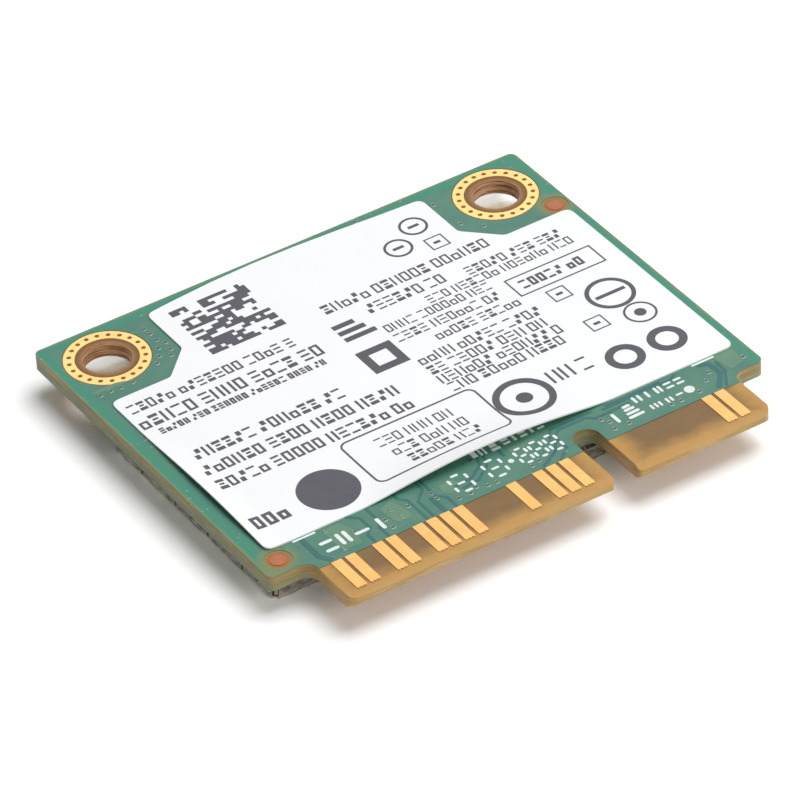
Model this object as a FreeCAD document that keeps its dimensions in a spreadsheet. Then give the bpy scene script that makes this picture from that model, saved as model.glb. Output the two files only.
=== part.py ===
"""Half-size plug-in wireless card: board, gold contacts, label, shield can and what it covers.

Frame: +Z up, +X along the connector edge, the connector tongue towards -Y. The origin is the centre
of the outline on the plane that the card lies on. The label side is up and the shield lid is down.
"""
import FreeCAD, Part
import Sketcher
import math
import os
import re

doc = FreeCAD.newDocument("WirelessCard")
V = FreeCAD.Vector

# Driving dimensions in millimetres. An inset is measured from the edge that its name gives

SIZES = {
    "board": {
        "board_width": 30.0,
        "board_length": 26.8,
        "board_thickness": 0.90,
        "board_corner": 0.40,
        "mask_thickness": 0.03,
        "mask_clearance": 0.05,
    },
    "tongue": {
        "tongue_reach": 3.60,
        "shoulder_left": 2.40,
        "shoulder_right": 2.05,
        "shoulder_fillet": 0.65,
        "tongue_corner": 0.55,
        "bevel_length": 0.45,
        "bevel_depth": 0.22,
        "key_place": 4.00,
        "key_width": 1.50,
        "key_depth": 4.35,
        "key_corner": 0.25,
    },
    "contacts": {
        "contact_pitch": 0.80,
        "contact_width": 0.60,
        "contact_length": 2.40,
        "contact_inset": 0.45,
        "contact_thickness": 0.04,
        "contact_side_room": 0.60,
        "contact_key_room": 0.90,
        "burr_depth": 0.07,
    },
    "screw holes": {
        "hole_side_inset": 2.90,
        "hole_back_inset": 2.70,
        "hole_radius": 1.30,
        "ring_inner": 1.70,
        "ring_outer": 2.31,
        "ring_thickness": 0.035,
        "ring_hole_radius": 0.14,
    },
    "target dots": {
        "dot_radius": 0.45,
        "dot_opening": 0.75,
        "dot_thickness": 0.025,
        "dot_right_inset": 0.90,
        "dot_back_inset": 5.40,
        "dot_left_inset": 1.15,
        "dot_shoulder_inset": 1.05,
    },
    "label": {
        "label_thickness": 0.09,
        "label_left_inset": 1.00,
        "label_right_inset": 0.55,
        "label_back_inset": 0.80,
        "label_back_bow": 0.50,
        "label_shoulder_inset": 1.90,
        "label_notch_reach": 3.53,
        "label_notch_depth": 3.50,
        "label_notch_cut": 1.80,
        "label_corner": 0.50,
        "print_thickness": 0.015,
        "legend_thickness": 0.015,
    },
    "shield": {
        "can_height": 1.35,
        "can_side_inset": 0.55,
        "can_shoulder_inset": 0.75,
        "can_back_inset": 6.85,
        "lid_sheet": 0.12,
        "lid_wall": 0.86,
        "lid_gap": 0.02,
        "lid_bend": 0.12,
        "lid_corner": 0.32,
        "slit_width": 0.18,
        "slit_foot": 0.06,
        "frame_sheet": 0.15,
        "frame_corner": 0.55,
        "frame_rim": 0.70,
        "frame_gap": 0.03,
        "bridge_width": 1.60,
        "foot_notch": 1.20,
        "foot_notch_depth": 0.32,
        "dimple_radius": 0.24,
        "dimple_depth": 0.09,
        "dimple_edge": 0.05,
        "dimple_level": 0.48,
        "dimple_play": 0.07,
        "dent_radius": 0.16,
        "dent_depth": 0.06,
    },
    "antenna sockets": {
        "socket_from_hole": 6.90,
        "socket_back_inset": 2.60,
        "socket_base": 2.60,
        "socket_base_height": 0.35,
        "socket_height": 1.25,
        "socket_radius": 1.00,
        "socket_wall": 0.14,
        "socket_neck": 0.90,
        "socket_neck_height": 0.30,
        "socket_boss": 0.45,
        "socket_pin": 0.25,
        "socket_pin_height": 0.95,
        "strap_width": 0.60,
        "strap_sheet": 0.12,
        "strap_reach": 0.30,
        "signal_width": 0.40,
        "signal_sheet": 0.12,
    },
    "parts under the shield": {
        "radio_side": 9.00,
        "radio_height": 0.85,
        "front_end_side": 4.00,
        "front_end_height": 0.75,
        "memory_width": 3.00,
        "memory_length": 4.00,
        "memory_height": 0.70,
        "crystal_width": 3.20,
        "crystal_length": 2.50,
        "crystal_height": 0.70,
        "inductor_width": 2.00,
        "inductor_length": 2.50,
        "inductor_height": 0.95,
        "capacitor_length": 1.00,
        "capacitor_width": 0.50,
        "capacitor_height": 0.50,
        "capacitor_end": 0.22,
        "resistor_length": 1.00,
        "resistor_width": 0.50,
        "resistor_height": 0.35,
        "resistor_end": 0.20,
        "row_pitch": 1.55,
    },
}

sheet = doc.addObject("Spreadsheet::Sheet", "Sizes")
NAMES = set()
sheet_line = 1
for heading, values in SIZES.items():
    sheet.set("A%d" % sheet_line, heading)
    sheet_line += 1
    for alias, number in values.items():
        sheet.set("A%d" % sheet_line, alias.replace("_", " "))
        sheet.set("B%d" % sheet_line, str(number))
        sheet.setAlias("B%d" % sheet_line, alias)
        NAMES.add(alias)
        sheet_line += 1
doc.recompute()

# Formulas over the sheet


def bound(formula):
    """The formula with each of the sheet's names turned into a reference to its cell."""
    return re.sub(r"[a-z_]+", lambda word: "Sizes." + word[0] if word[0] in NAMES else word[0], formula)


def value(formula):
    """The number that a formula over the sheet's names gives."""
    return float(sheet.evalExpression(bound(formula)))


def bind(item, **formulas):
    for name, formula in formulas.items():
        item.setExpression(name, bound(formula))


def place(item, x="0", y="0", z="0"):
    for axis, formula in (("x", x), ("y", y), ("z", z)):
        item.setExpression("Placement.Base." + axis, bound(formula))
    return item


# Levels and lines that several pieces share

BOARD_TOP = "(can_height + board_thickness)"
LAMINATE_TOP = "(can_height + board_thickness - mask_thickness)"
LAMINATE_BOTTOM = "(can_height + mask_thickness)"
LABEL_TOP = BOARD_TOP + " + label_thickness"
BOARD_HALF = "(board_width / 2)"
BACK = "(board_length / 2)"
SHOULDER = "(tongue_reach - board_length / 2)"
MASK_FRONT = "(contact_inset + contact_length - board_length / 2)"
TONGUE_LEFT = "(shoulder_left - board_width / 2)"
TONGUE_RIGHT = "(board_width / 2 - shoulder_right)"
HOLE_X = "(board_width / 2 - hole_side_inset)"
HOLE_Y = "(board_length / 2 - hole_back_inset)"
CAN_HALF = "(board_width / 2 - can_side_inset)"
CAN_FRONT = "(tongue_reach + can_shoulder_inset - board_length / 2)"
CAN_BACK = "(board_length / 2 - can_back_inset)"
CAN_DEPTH = "(%s - %s)" % (CAN_BACK, CAN_FRONT)
CAN_MIDDLE = "((%s + %s) / 2)" % (CAN_BACK, CAN_FRONT)
FRAME_INSET = "(lid_sheet + lid_gap)"
FRAME_BASE = "(lid_sheet + frame_gap)"
ROOM_HALF = "(%s - %s - frame_sheet)" % (CAN_HALF, FRAME_INSET)
ROOM_DEPTH = "(%s - 2 * %s - 2 * frame_sheet)" % (CAN_DEPTH, FRAME_INSET)
SIDES = (("left", "-"), ("right", ""))

ALL_NODES = []


def node(item, label):
    item.Label = label
    ALL_NODES.append(item)


# Plain solids


def box(name, low, span):
    solid = doc.addObject("Part::Box", name)
    bind(solid, Length=span[0], Width=span[1], Height=span[2])
    return place(solid, *low)


def group(name, pieces):
    result = doc.addObject("Part::Compound", name)
    result.Links = pieces
    return result


# Bodies made of sketches


def origin_plane(body, role):
    return next(item for item in body.Origin.OriginFeatures if item.Role == role)


def sketch_on(body, role, name, level="0"):
    drawing = body.newObject("Sketcher::SketchObject", name)
    drawing.AttachmentSupport = [(origin_plane(body, role), "")]
    drawing.MapMode = "FlatFace"
    drawing.setExpression("AttachmentOffset.Base.z", bound(level))
    return drawing


def pin_point(drawing, line, end, tag, x, y):
    """Hold one point of the drawing at two formulas."""
    for axis, formula in (("X", x), ("Y", y)):
        rule = Sketcher.Constraint("Distance" + axis, line, end, value(formula))
        drawing.renameConstraint(drawing.addConstraint(rule), tag + axis)
        drawing.setExpression("Constraints." + tag + axis, bound(formula))


def add_polygon(drawing, points):
    """A closed outline whose corners lie at pairs of formulas."""
    corners = [V(value(x), value(y), 0) for x, y in points]
    first = drawing.GeometryCount
    count = len(corners)
    for index in range(count):
        drawing.addGeometry(Part.LineSegment(corners[index], corners[(index + 1) % count]))
    for index in range(count):
        following = first + (index + 1) % count
        drawing.addConstraint(Sketcher.Constraint("Coincident", first + index, 2, following, 1))
    for index, (x, y) in enumerate(points):
        pin_point(drawing, first + index, 1, "corner%d_" % (first + index), x, y)


def add_rectangle(drawing, x, y, width, height):
    """A rectangle about a middle point."""
    left, right = "%s - (%s) / 2" % (x, width), "%s + (%s) / 2" % (x, width)
    low, high = "%s - (%s) / 2" % (y, height), "%s + (%s) / 2" % (y, height)
    add_polygon(drawing, [(left, low), (right, low), (right, high), (left, high)])


def add_regular(drawing, x, y, radius, sides):
    """A regular polygon, for a small round hole or dimple."""
    turns = [2 * math.pi * (index + 0.5) / sides for index in range(sides)]
    add_polygon(drawing, [("%s + (%.6f) * (%s)" % (x, math.cos(turn), radius),
                           "%s + (%.6f) * (%s)" % (y, math.sin(turn), radius)) for turn in turns])


def add_circle(drawing, x, y, radius):
    index = drawing.addGeometry(Part.Circle(V(value(x), value(y), 0), V(0, 0, 1), value(radius)))
    pin_point(drawing, index, 3, "centre%d_" % index, x, y)
    rule = Sketcher.Constraint("Radius", index, value(radius))
    drawing.renameConstraint(drawing.addConstraint(rule), "radius%d" % index)
    drawing.setExpression("Constraints.radius%d" % index, bound(radius))


def pad(body, drawing, name, height, reverse=False):
    feature = body.newObject("PartDesign::Pad", name)
    feature.Profile = drawing
    feature.Reversed = reverse
    bind(feature, Length=height)
    doc.recompute()
    return feature


def pocket(body, drawing, name, depth=None, upwards=False):
    """A cut: down by a depth, or both ways through everything."""
    before = body.Shape.Volume
    feature = body.newObject("PartDesign::Pocket", name)
    feature.Profile = drawing
    feature.Reversed = upwards
    if depth is None:
        feature.Type = "ThroughAll"
        feature.Midplane = True
    else:
        bind(feature, Length=depth)
    doc.recompute()
    if not feature.Shape.Volume < before:
        raise ValueError(name + " cuts nothing")
    return feature


def revolve(body, drawing, name):
    """A full turn of the profile about the drawing's upright axis."""
    feature = body.newObject("PartDesign::Revolution", name)
    feature.Profile = drawing
    feature.ReferenceAxis = (drawing, ["V_Axis"])
    feature.Angle = 360
    doc.recompute()


NEAR = 1e-6


def edges_where(feature, wanted):
    """Names of the feature's edges for which wanted(edge, middle) is true."""
    names = []
    for index, edge in enumerate(feature.Shape.Edges):
        middle = edge.valueAt((edge.FirstParameter + edge.LastParameter) / 2)
        if wanted(edge, middle):
            names.append("Edge%d" % (index + 1))
    return names


def upright(edge):
    span = edge.BoundBox
    return span.XLength < NEAR and span.YLength < NEAR and span.ZLength > NEAR


def fillet(body, base, name, edge_names, radius):
    feature = body.newObject("PartDesign::Fillet", name)
    feature.Base = (base, edge_names)
    bind(feature, Radius=radius)
    doc.recompute()
    return feature


def chamfer(body, base, name, edge_names, size):
    feature = body.newObject("PartDesign::Chamfer", name)
    feature.Base = (base, edge_names)
    bind(feature, Size=size)
    doc.recompute()


# Board and lacquer share one outline: the body, its shoulders, the tongue and the key slot


def outline_body(name, level, thickness, front):
    """A plate with the board's outline, whose tongue ends at y = front."""
    body = new_body(name)
    drawing = sketch_on(body, "XY_Plane", name + "_outline", level)
    add_polygon(drawing, [
        ("-" + BOARD_HALF, SHOULDER), (TONGUE_LEFT, SHOULDER), (TONGUE_LEFT, front), (TONGUE_RIGHT, front),
        (TONGUE_RIGHT, SHOULDER), (BOARD_HALF, SHOULDER), (BOARD_HALF, BACK), ("-" + BOARD_HALF, BACK)])
    pad(body, drawing, name + "_plate", thickness)

    slot = sketch_on(body, "XY_Plane", name + "_key", level)
    slot_end = "(key_depth - key_width / 2 - board_length / 2)"
    reach = "(%s + board_length)" % slot_end
    add_rectangle(slot, "key_place", "%s - %s / 2" % (slot_end, reach), "key_width", reach)
    pocket(body, slot, name + "_key_slot", thickness, upwards=True)
    bulb = sketch_on(body, "XY_Plane", name + "_bulb", level)
    add_circle(bulb, "key_place", slot_end, "key_width / 2")
    plate = pocket(body, bulb, name + "_key_end", thickness, upwards=True)

    wide = value(BOARD_HALF)
    corners = edges_where(plate, lambda edge, p: upright(edge) and abs(abs(p.x) - wide) < NEAR)
    plate = fillet(body, plate, name + "_corners", corners, "board_corner")
    corners = edges_where(plate, lambda edge, p: upright(edge) and at_tongue_side(p, SHOULDER))
    fillet(body, plate, name + "_shoulders", corners, "shoulder_fillet")
    return body


def new_body(name):
    return doc.addObject("PartDesign::Body", name)


def at_tongue_side(point, y):
    sides = (value(TONGUE_LEFT), value(TONGUE_RIGHT))
    return min(abs(point.x - side) for side in sides) < NEAR and abs(point.y - value(y)) < NEAR


def at_key_mouth(point, y):
    off = abs(point.x - value("key_place")) - value("key_width / 2")
    return abs(off) < NEAR and abs(point.y - value(y)) < NEAR


def make_board():
    front = "-" + BACK
    body = outline_body("circuit_board", LAMINATE_BOTTOM, "board_thickness - 2 * mask_thickness", front)
    tips = edges_where(body.Tip, lambda edge, p: upright(edge) and at_tongue_side(p, front))
    plate = fillet(body, body.Tip, "tongue_corners", tips, "tongue_corner")
    mouth = edges_where(plate, lambda edge, p: upright(edge) and at_key_mouth(p, front))
    fillet(body, plate, "key_corners", mouth, "key_corner")

    bevels = sketch_on(body, "YZ_Plane", "tongue_bevels")
    inner_y, outer_y = "bevel_length - board_length / 2", "-bevel_length - board_length / 2"
    for face, inwards, outwards in ((LAMINATE_TOP, "-", "+"), (LAMINATE_BOTTOM, "+", "-")):
        add_polygon(bevels, [
            (inner_y, face), (outer_y, "%s %s 2 * bevel_depth" % (face, inwards)),
            (outer_y, "%s %s bevel_length" % (face, outwards)), (inner_y, "%s %s bevel_length" % (face, outwards))])
    pocket(body, bevels, "tongue_bevel_cut")
    holes = sketch_on(body, "XY_Plane", "screw_holes", LAMINATE_BOTTOM)
    for _, side in SIDES:
        add_circle(holes, side + HOLE_X, HOLE_Y, "hole_radius")
    pocket(body, holes, "screw_hole_cut")
    node(body, "circuit_board")


DOTS = ((BOARD_HALF + " - dot_right_inset", BACK + " - dot_back_inset"),
        ("dot_left_inset - " + BOARD_HALF, SHOULDER + " + dot_shoulder_inset"))
DOT_SIDES = 24


def make_mask(name, level, dots):
    """The lacquer: the board's outline short of the contacts, open at the rings and the dots."""
    body = outline_body(name, level, "mask_thickness", MASK_FRONT)
    openings = sketch_on(body, "XY_Plane", name + "_openings", level)
    for _, side in SIDES:
        add_circle(openings, side + HOLE_X, HOLE_Y, "ring_outer + mask_clearance")
    for x, y in dots:
        add_regular(openings, x, y, "dot_opening", DOT_SIDES)
    pocket(body, openings, name + "_cut", "mask_thickness", upwards=True)
    node(body, name)


def make_dots():
    dots = []
    for index, (x, y) in enumerate(DOTS):
        dot = doc.addObject("Part::Prism", "dot_%d" % index)
        dot.Polygon = DOT_SIDES
        bind(dot, Circumradius="dot_radius", Height="dot_thickness")
        dots.append(place(dot, x, y, LAMINATE_TOP))
    node(group("target_dots", dots), "target_dots")


# Gold contacts. The places on each side of the key are counted from that end of the tongue

EMPTY_PLACES = {"left": (2, 5, 10, 11, 12, 14), "right": (2, 3, 4, 5, 6, 7)}
BURRS = 3


def contact_places():
    """Every place that has laminate on both sides: not off the tongue, and not at the key."""
    side_room = value("contact_side_room + contact_width / 2")
    key_room = value("contact_key_room + (contact_width + key_width) / 2")
    left, right = value(TONGUE_LEFT) + side_room, value(TONGUE_RIGHT) - side_room
    key, pitch = value("key_place"), value("contact_pitch")
    first = -int(value("board_width") / pitch)
    places = [(number + 0.5) * pitch for number in range(first, -first)]
    return {"left": [x for x in places if left < x < key - key_room],
            "right": [x for x in reversed(places) if key + key_room < x < right]}


def contact_outline(x, burrs):
    """One finger seen from above: straight sides, and an outer end with as many small burrs."""
    half = value("contact_width / 2")
    outer_y = value("contact_inset - board_length / 2")
    inner_y = value(MASK_FRONT)
    depth = value("burr_depth")
    points = [V(x - half, inner_y, 0), V(x - half, outer_y, 0)]
    for index in range(burrs):
        points.append(V(x - half + (index + 0.5) * 2 * half / burrs, outer_y - depth, 0))
        points.append(V(x - half + (index + 1) * 2 * half / burrs, outer_y, 0))
    if not burrs:
        points.append(V(x + half, outer_y, 0))
    points.append(V(x + half, inner_y, 0))
    return Part.Face(Part.makePolygon(points + points[:1]))


def make_contacts(name, level, empty, burrs=0):
    fingers = []
    for end, places in contact_places().items():
        for count, x in enumerate(places):
            if count not in empty.get(end, ()):
                fingers.append(contact_outline(x, burrs).extrude(V(0, 0, value("contact_thickness"))))
    feature = doc.addObject("Part::Feature", name)
    feature.Shape = Part.Compound(fingers)
    feature.Placement = FreeCAD.Placement(V(0, 0, value(level)), FreeCAD.Rotation())
    node(feature, name)


# Plated rings round the screw holes. On the label side a circle of small plated holes goes through

RING_HOLES = 21
RING_HOLE_SIDES = 6


def make_ring(name, side, level, drilled):
    body = new_body(name)
    disc = sketch_on(body, "XY_Plane", name + "_disc")
    add_circle(disc, "0", "0", "ring_outer")
    add_circle(disc, "0", "0", "ring_inner")
    pad(body, disc, name + "_plate", "ring_thickness")
    if drilled:
        drill = sketch_on(body, "XY_Plane", name + "_hole")
        add_regular(drill, "(ring_outer + ring_inner) / 2", "0", "ring_hole_radius", RING_HOLE_SIDES)
        hole = pocket(body, drill, name + "_hole_cut")
        pattern = body.newObject("PartDesign::PolarPattern", name + "_holes")
        pattern.Originals = [hole]
        pattern.Axis = (drill, ["N_Axis"])
        pattern.Angle = 360
        pattern.Occurrences = RING_HOLES
        body.Tip = pattern
    place(body, side + HOLE_X, HOLE_Y, level)
    node(body, name)


# Label with notches round the screw holes and a bowed back edge

LABEL_LEFT = "(label_left_inset - board_width / 2)"
LABEL_RIGHT = "(board_width / 2 - label_right_inset)"
LABEL_BACK = "(board_length / 2 - label_back_inset)"
LABEL_FRONT = "(%s + label_shoulder_inset)" % SHOULDER
NOTCH_SIDE = "(%s - label_notch_reach)" % HOLE_X
NOTCH_FRONT = "(%s - label_notch_depth)" % HOLE_Y


def make_label():
    body = new_body("label")
    drawing = sketch_on(body, "XY_Plane", "label_outline", BOARD_TOP)
    notch_out = "(%s + label_notch_cut)" % NOTCH_SIDE
    notch_up = "(%s + label_notch_cut)" % NOTCH_FRONT
    add_polygon(drawing, [
        (LABEL_LEFT, LABEL_FRONT), (LABEL_RIGHT, LABEL_FRONT), (LABEL_RIGHT, NOTCH_FRONT),
        (notch_out, NOTCH_FRONT), (NOTCH_SIDE, notch_up), (NOTCH_SIDE, LABEL_BACK),
        ("-%s / 3" % NOTCH_SIDE, LABEL_BACK + " + label_back_bow"),
        ("-" + NOTCH_SIDE, LABEL_BACK), ("-" + NOTCH_SIDE, notch_up), ("-" + notch_out, NOTCH_FRONT),
        (LABEL_LEFT, NOTCH_FRONT)])
    plate = pad(body, drawing, "label_plate", "label_thickness")
    fillet(body, plate, "label_corners", edges_where(plate, lambda edge, p: upright(edge)), "label_corner")
    node(body, "label")


# Printing on the label. Places and sizes are hundredths of the label: across, of its width from its
# left edge, and up, of its depth from its front edge

# One line of print each: left end, right end, middle height, height of the bar
PRINT_LINES = (
    (1.4, 37.6, 67.8, 3.7), (0.7, 40.1, 61.0, 4.6), (2.8, 38.3, 55.9, 2.4), (3.9, 35.5, 42.5, 4.1),
    (2.8, 43.9, 35.4, 4.1), (2.8, 44.3, 28.5, 4.1), (45.7, 83.0, 74.1, 3.9), (52.4, 69.2, 67.8, 3.9),
    (73.5, 95.6, 66.3, 3.4), (62.9, 95.6, 61.7, 3.4), (49.6, 75.2, 58.5, 3.4), (50.6, 74.9, 52.9, 3.4),
    (58.0, 78.0, 47.8, 3.4), (51.3, 77.7, 41.5, 3.7), (51.3, 77.7, 36.6, 3.7), (51.3, 77.7, 32.0, 3.7),
    (51.7, 77.7, 27.8, 3.7), (64.3, 79.1, 16.1, 4.9), (1.8, 11.6, 10.2, 4.9), (32.0, 47.8, 19.5, 3.7),
    (33.0, 49.9, 14.6, 3.7), (34.4, 50.6, 9.8, 3.7),
)
WORD_LENGTH = 9.0
WORD_SPACE = 1.6
# Round marks: middle across and up, outer and inner radius
PRINT_RINGS = (
    (18.0, 11.2, 8.1, 0), (60.7, 13.2, 8.1, 6.0), (91.0, 36.6, 7.6, 6.3), (73.5, 91.2, 3.9, 3.3),
    (67.5, 85.4, 3.9, 3.3), (92.1, 25.4, 4.6, 3.9), (82.2, 12.2, 5.2, 2.9), (91.4, 12.2, 5.2, 2.9),
)
MARK_SIDES = 14
# Square marks: left and front edge, width, depth
PRINT_FRAMES = (
    (26.0, 4.9, 28.8, 20.0), (77.3, 48.8, 19.0, 8.3), (72.4, 79.0, 3.9, 5.4), (81.5, 41.5, 3.9, 5.4),
    (81.9, 25.4, 3.9, 5.4),
)
FRAME_LINE = 0.4
CODE_CELLS = 10
CODE_CORNER = (22.5, 75.1)
CODE_PITCH = 1.58


class Artwork:
    """Solids of print on the label, laid out in hundredths of its width and depth."""

    def __init__(self):
        self.left, self.front = value(LABEL_LEFT), value(LABEL_FRONT)
        self.across = value("%s - %s" % (LABEL_RIGHT, LABEL_LEFT)) / 100
        self.up = value("%s - %s" % (LABEL_BACK, LABEL_FRONT)) / 100
        self.thick = value("print_thickness")
        self.solids = []

    def bar(self, x, y, wide, tall):
        """A bar from its left end and its middle height, both in hundredths."""
        self.plate(self.left + x * self.across, self.front + (y - tall / 2) * self.up,
                   wide * self.across, tall * self.up)

    def plate(self, x, y, wide, tall):
        self.solids.append(Part.makeBox(wide, tall, self.thick, V(x, y, 0)))

    def ring(self, x, y, outer, inner):
        middle = V(self.left + x * self.across, self.front + y * self.up, 0)
        turns = [2 * math.pi * index / MARK_SIDES for index in range(MARK_SIDES + 1)]
        discs = []
        for radius in (outer * self.up, inner * self.up):
            rim = [middle + V(radius * math.cos(turn), radius * math.sin(turn), 0) for turn in turns]
            discs.append(Part.Face(Part.makePolygon(rim)) if radius else None)
        face = discs[0].cut(discs[1]).Faces[0] if discs[1] else discs[0]
        self.solids.append(face.extrude(V(0, 0, self.thick)))

    def frame(self, x, y, wide, tall):
        x, y = self.left + x * self.across, self.front + y * self.up
        wide, tall, line = wide * self.across, tall * self.up, FRAME_LINE * self.across
        outer = Part.makeBox(wide, tall, self.thick, V(x, y, 0))
        inner = Part.makeBox(wide - 2 * line, tall - 2 * line, self.thick, V(x + line, y + line, 0))
        self.solids.append(outer.cut(inner))

    def words(self, number, left, right, y, tall):
        """A line of print as bars of about one word, a little uneven."""
        count = max(1, round((right - left) / WORD_LENGTH))
        shares = [1 + 0.35 * math.sin(2.1 * number + 1.7 * index) for index in range(count)]
        room = right - left - WORD_SPACE * (count - 1)
        x = left
        for share in shares:
            length = room * share / sum(shares)
            self.bar(x, y, length, tall)
            x += length + WORD_SPACE

    def code(self):
        """A square of short bars, filled by a plain counting rule that spells nothing."""
        pitch = CODE_PITCH * self.across
        x, y = self.left + CODE_CORNER[0] * self.across, self.front + CODE_CORNER[1] * self.up
        for row in range(CODE_CELLS):
            column = 0
            while column < CODE_CELLS:
                run = min(1 + (row * 5 + column * 3 + row * column) % 3, CODE_CELLS - column)
                if (row * 7 + column * 4) % 5 < 3:
                    self.plate(x + column * pitch, y + row * pitch, run * pitch, pitch * 0.9)
                column += run + 1


def make_print():
    art = Artwork()
    for number, line in enumerate(PRINT_LINES):
        art.words(number, *line)
    for mark in PRINT_RINGS:
        art.ring(*mark)
    for mark in PRINT_FRAMES:
        art.frame(*mark)
    art.code()
    feature = doc.addObject("Part::Feature", "label_print")
    feature.Shape = Part.Compound(art.solids)
    feature.Placement = FreeCAD.Placement(V(0, 0, value(LABEL_TOP)), FreeCAD.Rotation())
    node(feature, "label_print")


# White marks on the lacquer, between the label and the contacts: the empty seven-dash figures on which
# a date is marked, and plain bars. Across in hundredths of the board's width from its middle, up in
# millimetres from the lacquer's front edge

DASH = 0.13
# Middle of each figure, then its width and height in millimetres
FIGURES = ((-10.5, 1.01, 1.40), (-3.7, 1.01, 1.40), (2.05, 0.65, 1.26), (5.05, 0.65, 1.26), (8.05, 0.65, 1.26))
FIGURE_MIDDLE = 1.50
LEGEND_BARS = ((-38.7, 0.70, 2.5, 0.35), (-38.7, 1.40, 2.5, 0.35), (-35.5, 0.80, 0.8, 1.0), (-33.9, 0.80, 0.8, 1.0),
               (-32.4, 1.10, 2.9, 0.18), (-27.8, 0.70, 0.8, 0.95), (-41.8, 2.50, 4.5, 0.12), (-0.8, 1.40, 0.7, 0.21),
               (38.9, 2.50, 4.7, 0.12), (19.8, 0.85, 0.8, 0.85), (22.4, 0.75, 3.0, 0.95), (25.9, 1.70, 2.6, 0.5),
               (29.2, 1.70, 2.6, 0.5), (32.5, 1.70, 3.0, 0.5), (27.0, 0.75, 3.4, 0.35), (31.3, 0.80, 4.2, 0.35))


def dashed_figure(x, y, wide, tall):
    """Left, low, width and height of each of a figure's seven dashes."""
    half_wide, half_tall = wide / 2, tall / 2
    level = [(x - half_wide + DASH, y + side * half_tall - DASH / 2, wide - 2 * DASH, DASH)
             for side in (-1, 0, 1)]
    upright = [(x + side * half_wide - DASH / 2, y + low, DASH, half_tall - 2 * DASH)
               for side in (-1, 1) for low in (DASH - half_tall, DASH)]
    return level + upright


def make_legend():
    front, share = value(MASK_FRONT), value("board_width") / 100
    marks = [(x * share, front + y, wide * share, tall) for x, y, wide, tall in LEGEND_BARS]
    for x, wide, tall in FIGURES:
        marks += dashed_figure(x * share, front + FIGURE_MIDDLE, wide, tall)
    thick = value("legend_thickness")
    feature = doc.addObject("Part::Feature", "legend_label_side")
    feature.Shape = Part.Compound([Part.makeBox(wide, tall, thick, V(x, y, 0)) for x, y, wide, tall in marks])
    feature.Placement = FreeCAD.Placement(V(0, 0, value(BOARD_TOP)), FreeCAD.Rotation())
    node(feature, "legend_label_side")


# Shield can: a soldered frame with a pick-up bridge, and a lid that snaps over it. Both are drawn
# about the can's own middle. Places along a wall are shares of half that wall's length

LONG_SNAPS, SHORT_SNAPS = (-0.75, -0.25, 0.25, 0.75), (-0.8, 0, 0.8)
LONG_SLITS, SHORT_SLITS = (-0.62, -0.38, -0.12, 0.12, 0.38, 0.62), (-0.62, -0.2, 0.2, 0.62)
LONG_NOTCHES, SHORT_NOTCHES = (-0.84, -0.5, 0, 0.5, 0.84), (-0.56, 0, 0.56)
ALONG_X, ALONG_Y = CAN_HALF, "(%s / 2)" % CAN_DEPTH
# Plane of the drawing, snaps, slits, notches, half length of the wall, distance of the wall
WALLS = (("XZ_Plane", LONG_SNAPS, LONG_SLITS, LONG_NOTCHES, ALONG_X, ALONG_Y),
         ("YZ_Plane", SHORT_SNAPS, SHORT_SLITS, SHORT_NOTCHES, ALONG_Y, ALONG_X))
SNAP_SIDES = 8
DENT_SIDES = 6


def can_sketch(body, name, level, inset):
    """The can's footprint, drawn in by an inset."""
    drawing = sketch_on(body, "XY_Plane", name, level)
    add_rectangle(drawing, "0", "0", "2 * %s - 2 * (%s)" % (CAN_HALF, inset),
                  "%s - 2 * (%s)" % (CAN_DEPTH, inset))
    return drawing


def wall_cuts(body, name, role, shares, along, width, low, high):
    """Rectangles cut through two opposite walls, between two levels."""
    drawing = sketch_on(body, role, name)
    for share in shares:
        add_rectangle(drawing, "%g * %s" % (share, along), "(%s + %s) / 2" % (low, high), width,
                      "%s - %s" % (high, low))
    pocket(body, drawing, name + "_cut")


def make_frame():
    body = new_body("shield_frame")
    blank = pad(body, can_sketch(body, "frame_outer", FRAME_BASE, FRAME_INSET), "frame_block",
                "can_height - " + FRAME_BASE)
    corners = edges_where(blank, lambda edge, p: upright(edge))
    fillet(body, blank, "frame_corners", corners, "frame_corner")
    inner = can_sketch(body, "frame_inner", "can_height", FRAME_INSET + " + frame_sheet")
    pocket(body, inner, "frame_hollow", "can_height - %s - frame_sheet" % FRAME_BASE)
    windows = sketch_on(body, "XY_Plane", "frame_windows", FRAME_BASE)
    window = "(%s - %s - frame_rim - bridge_width / 2)" % (CAN_HALF, FRAME_INSET)
    for _, side in SIDES:
        add_rectangle(windows, side + "((bridge_width + %s) / 2)" % window, "0", window,
                      "%s - 2 * %s - 2 * frame_rim" % (CAN_DEPTH, FRAME_INSET))
    pocket(body, windows, "frame_window_cut", "frame_sheet", upwards=True)
    for role, snaps, _, notches, along, _ in WALLS:
        wall_cuts(body, "frame_notches_" + role[:2], role, notches, along, "foot_notch",
                  "(can_height - foot_notch_depth)", "(2 * can_height)")
        holes = sketch_on(body, role, "frame_snap_holes_" + role[:2])
        for share in snaps:
            add_regular(holes, "%g * %s" % (share, along), "dimple_level", "dimple_radius + dimple_play",
                        SNAP_SIDES)
        pocket(body, holes, "frame_snap_cut_" + role[:2])
    place(body, "0", CAN_MIDDLE, "0")
    node(body, "shield_frame")


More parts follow.
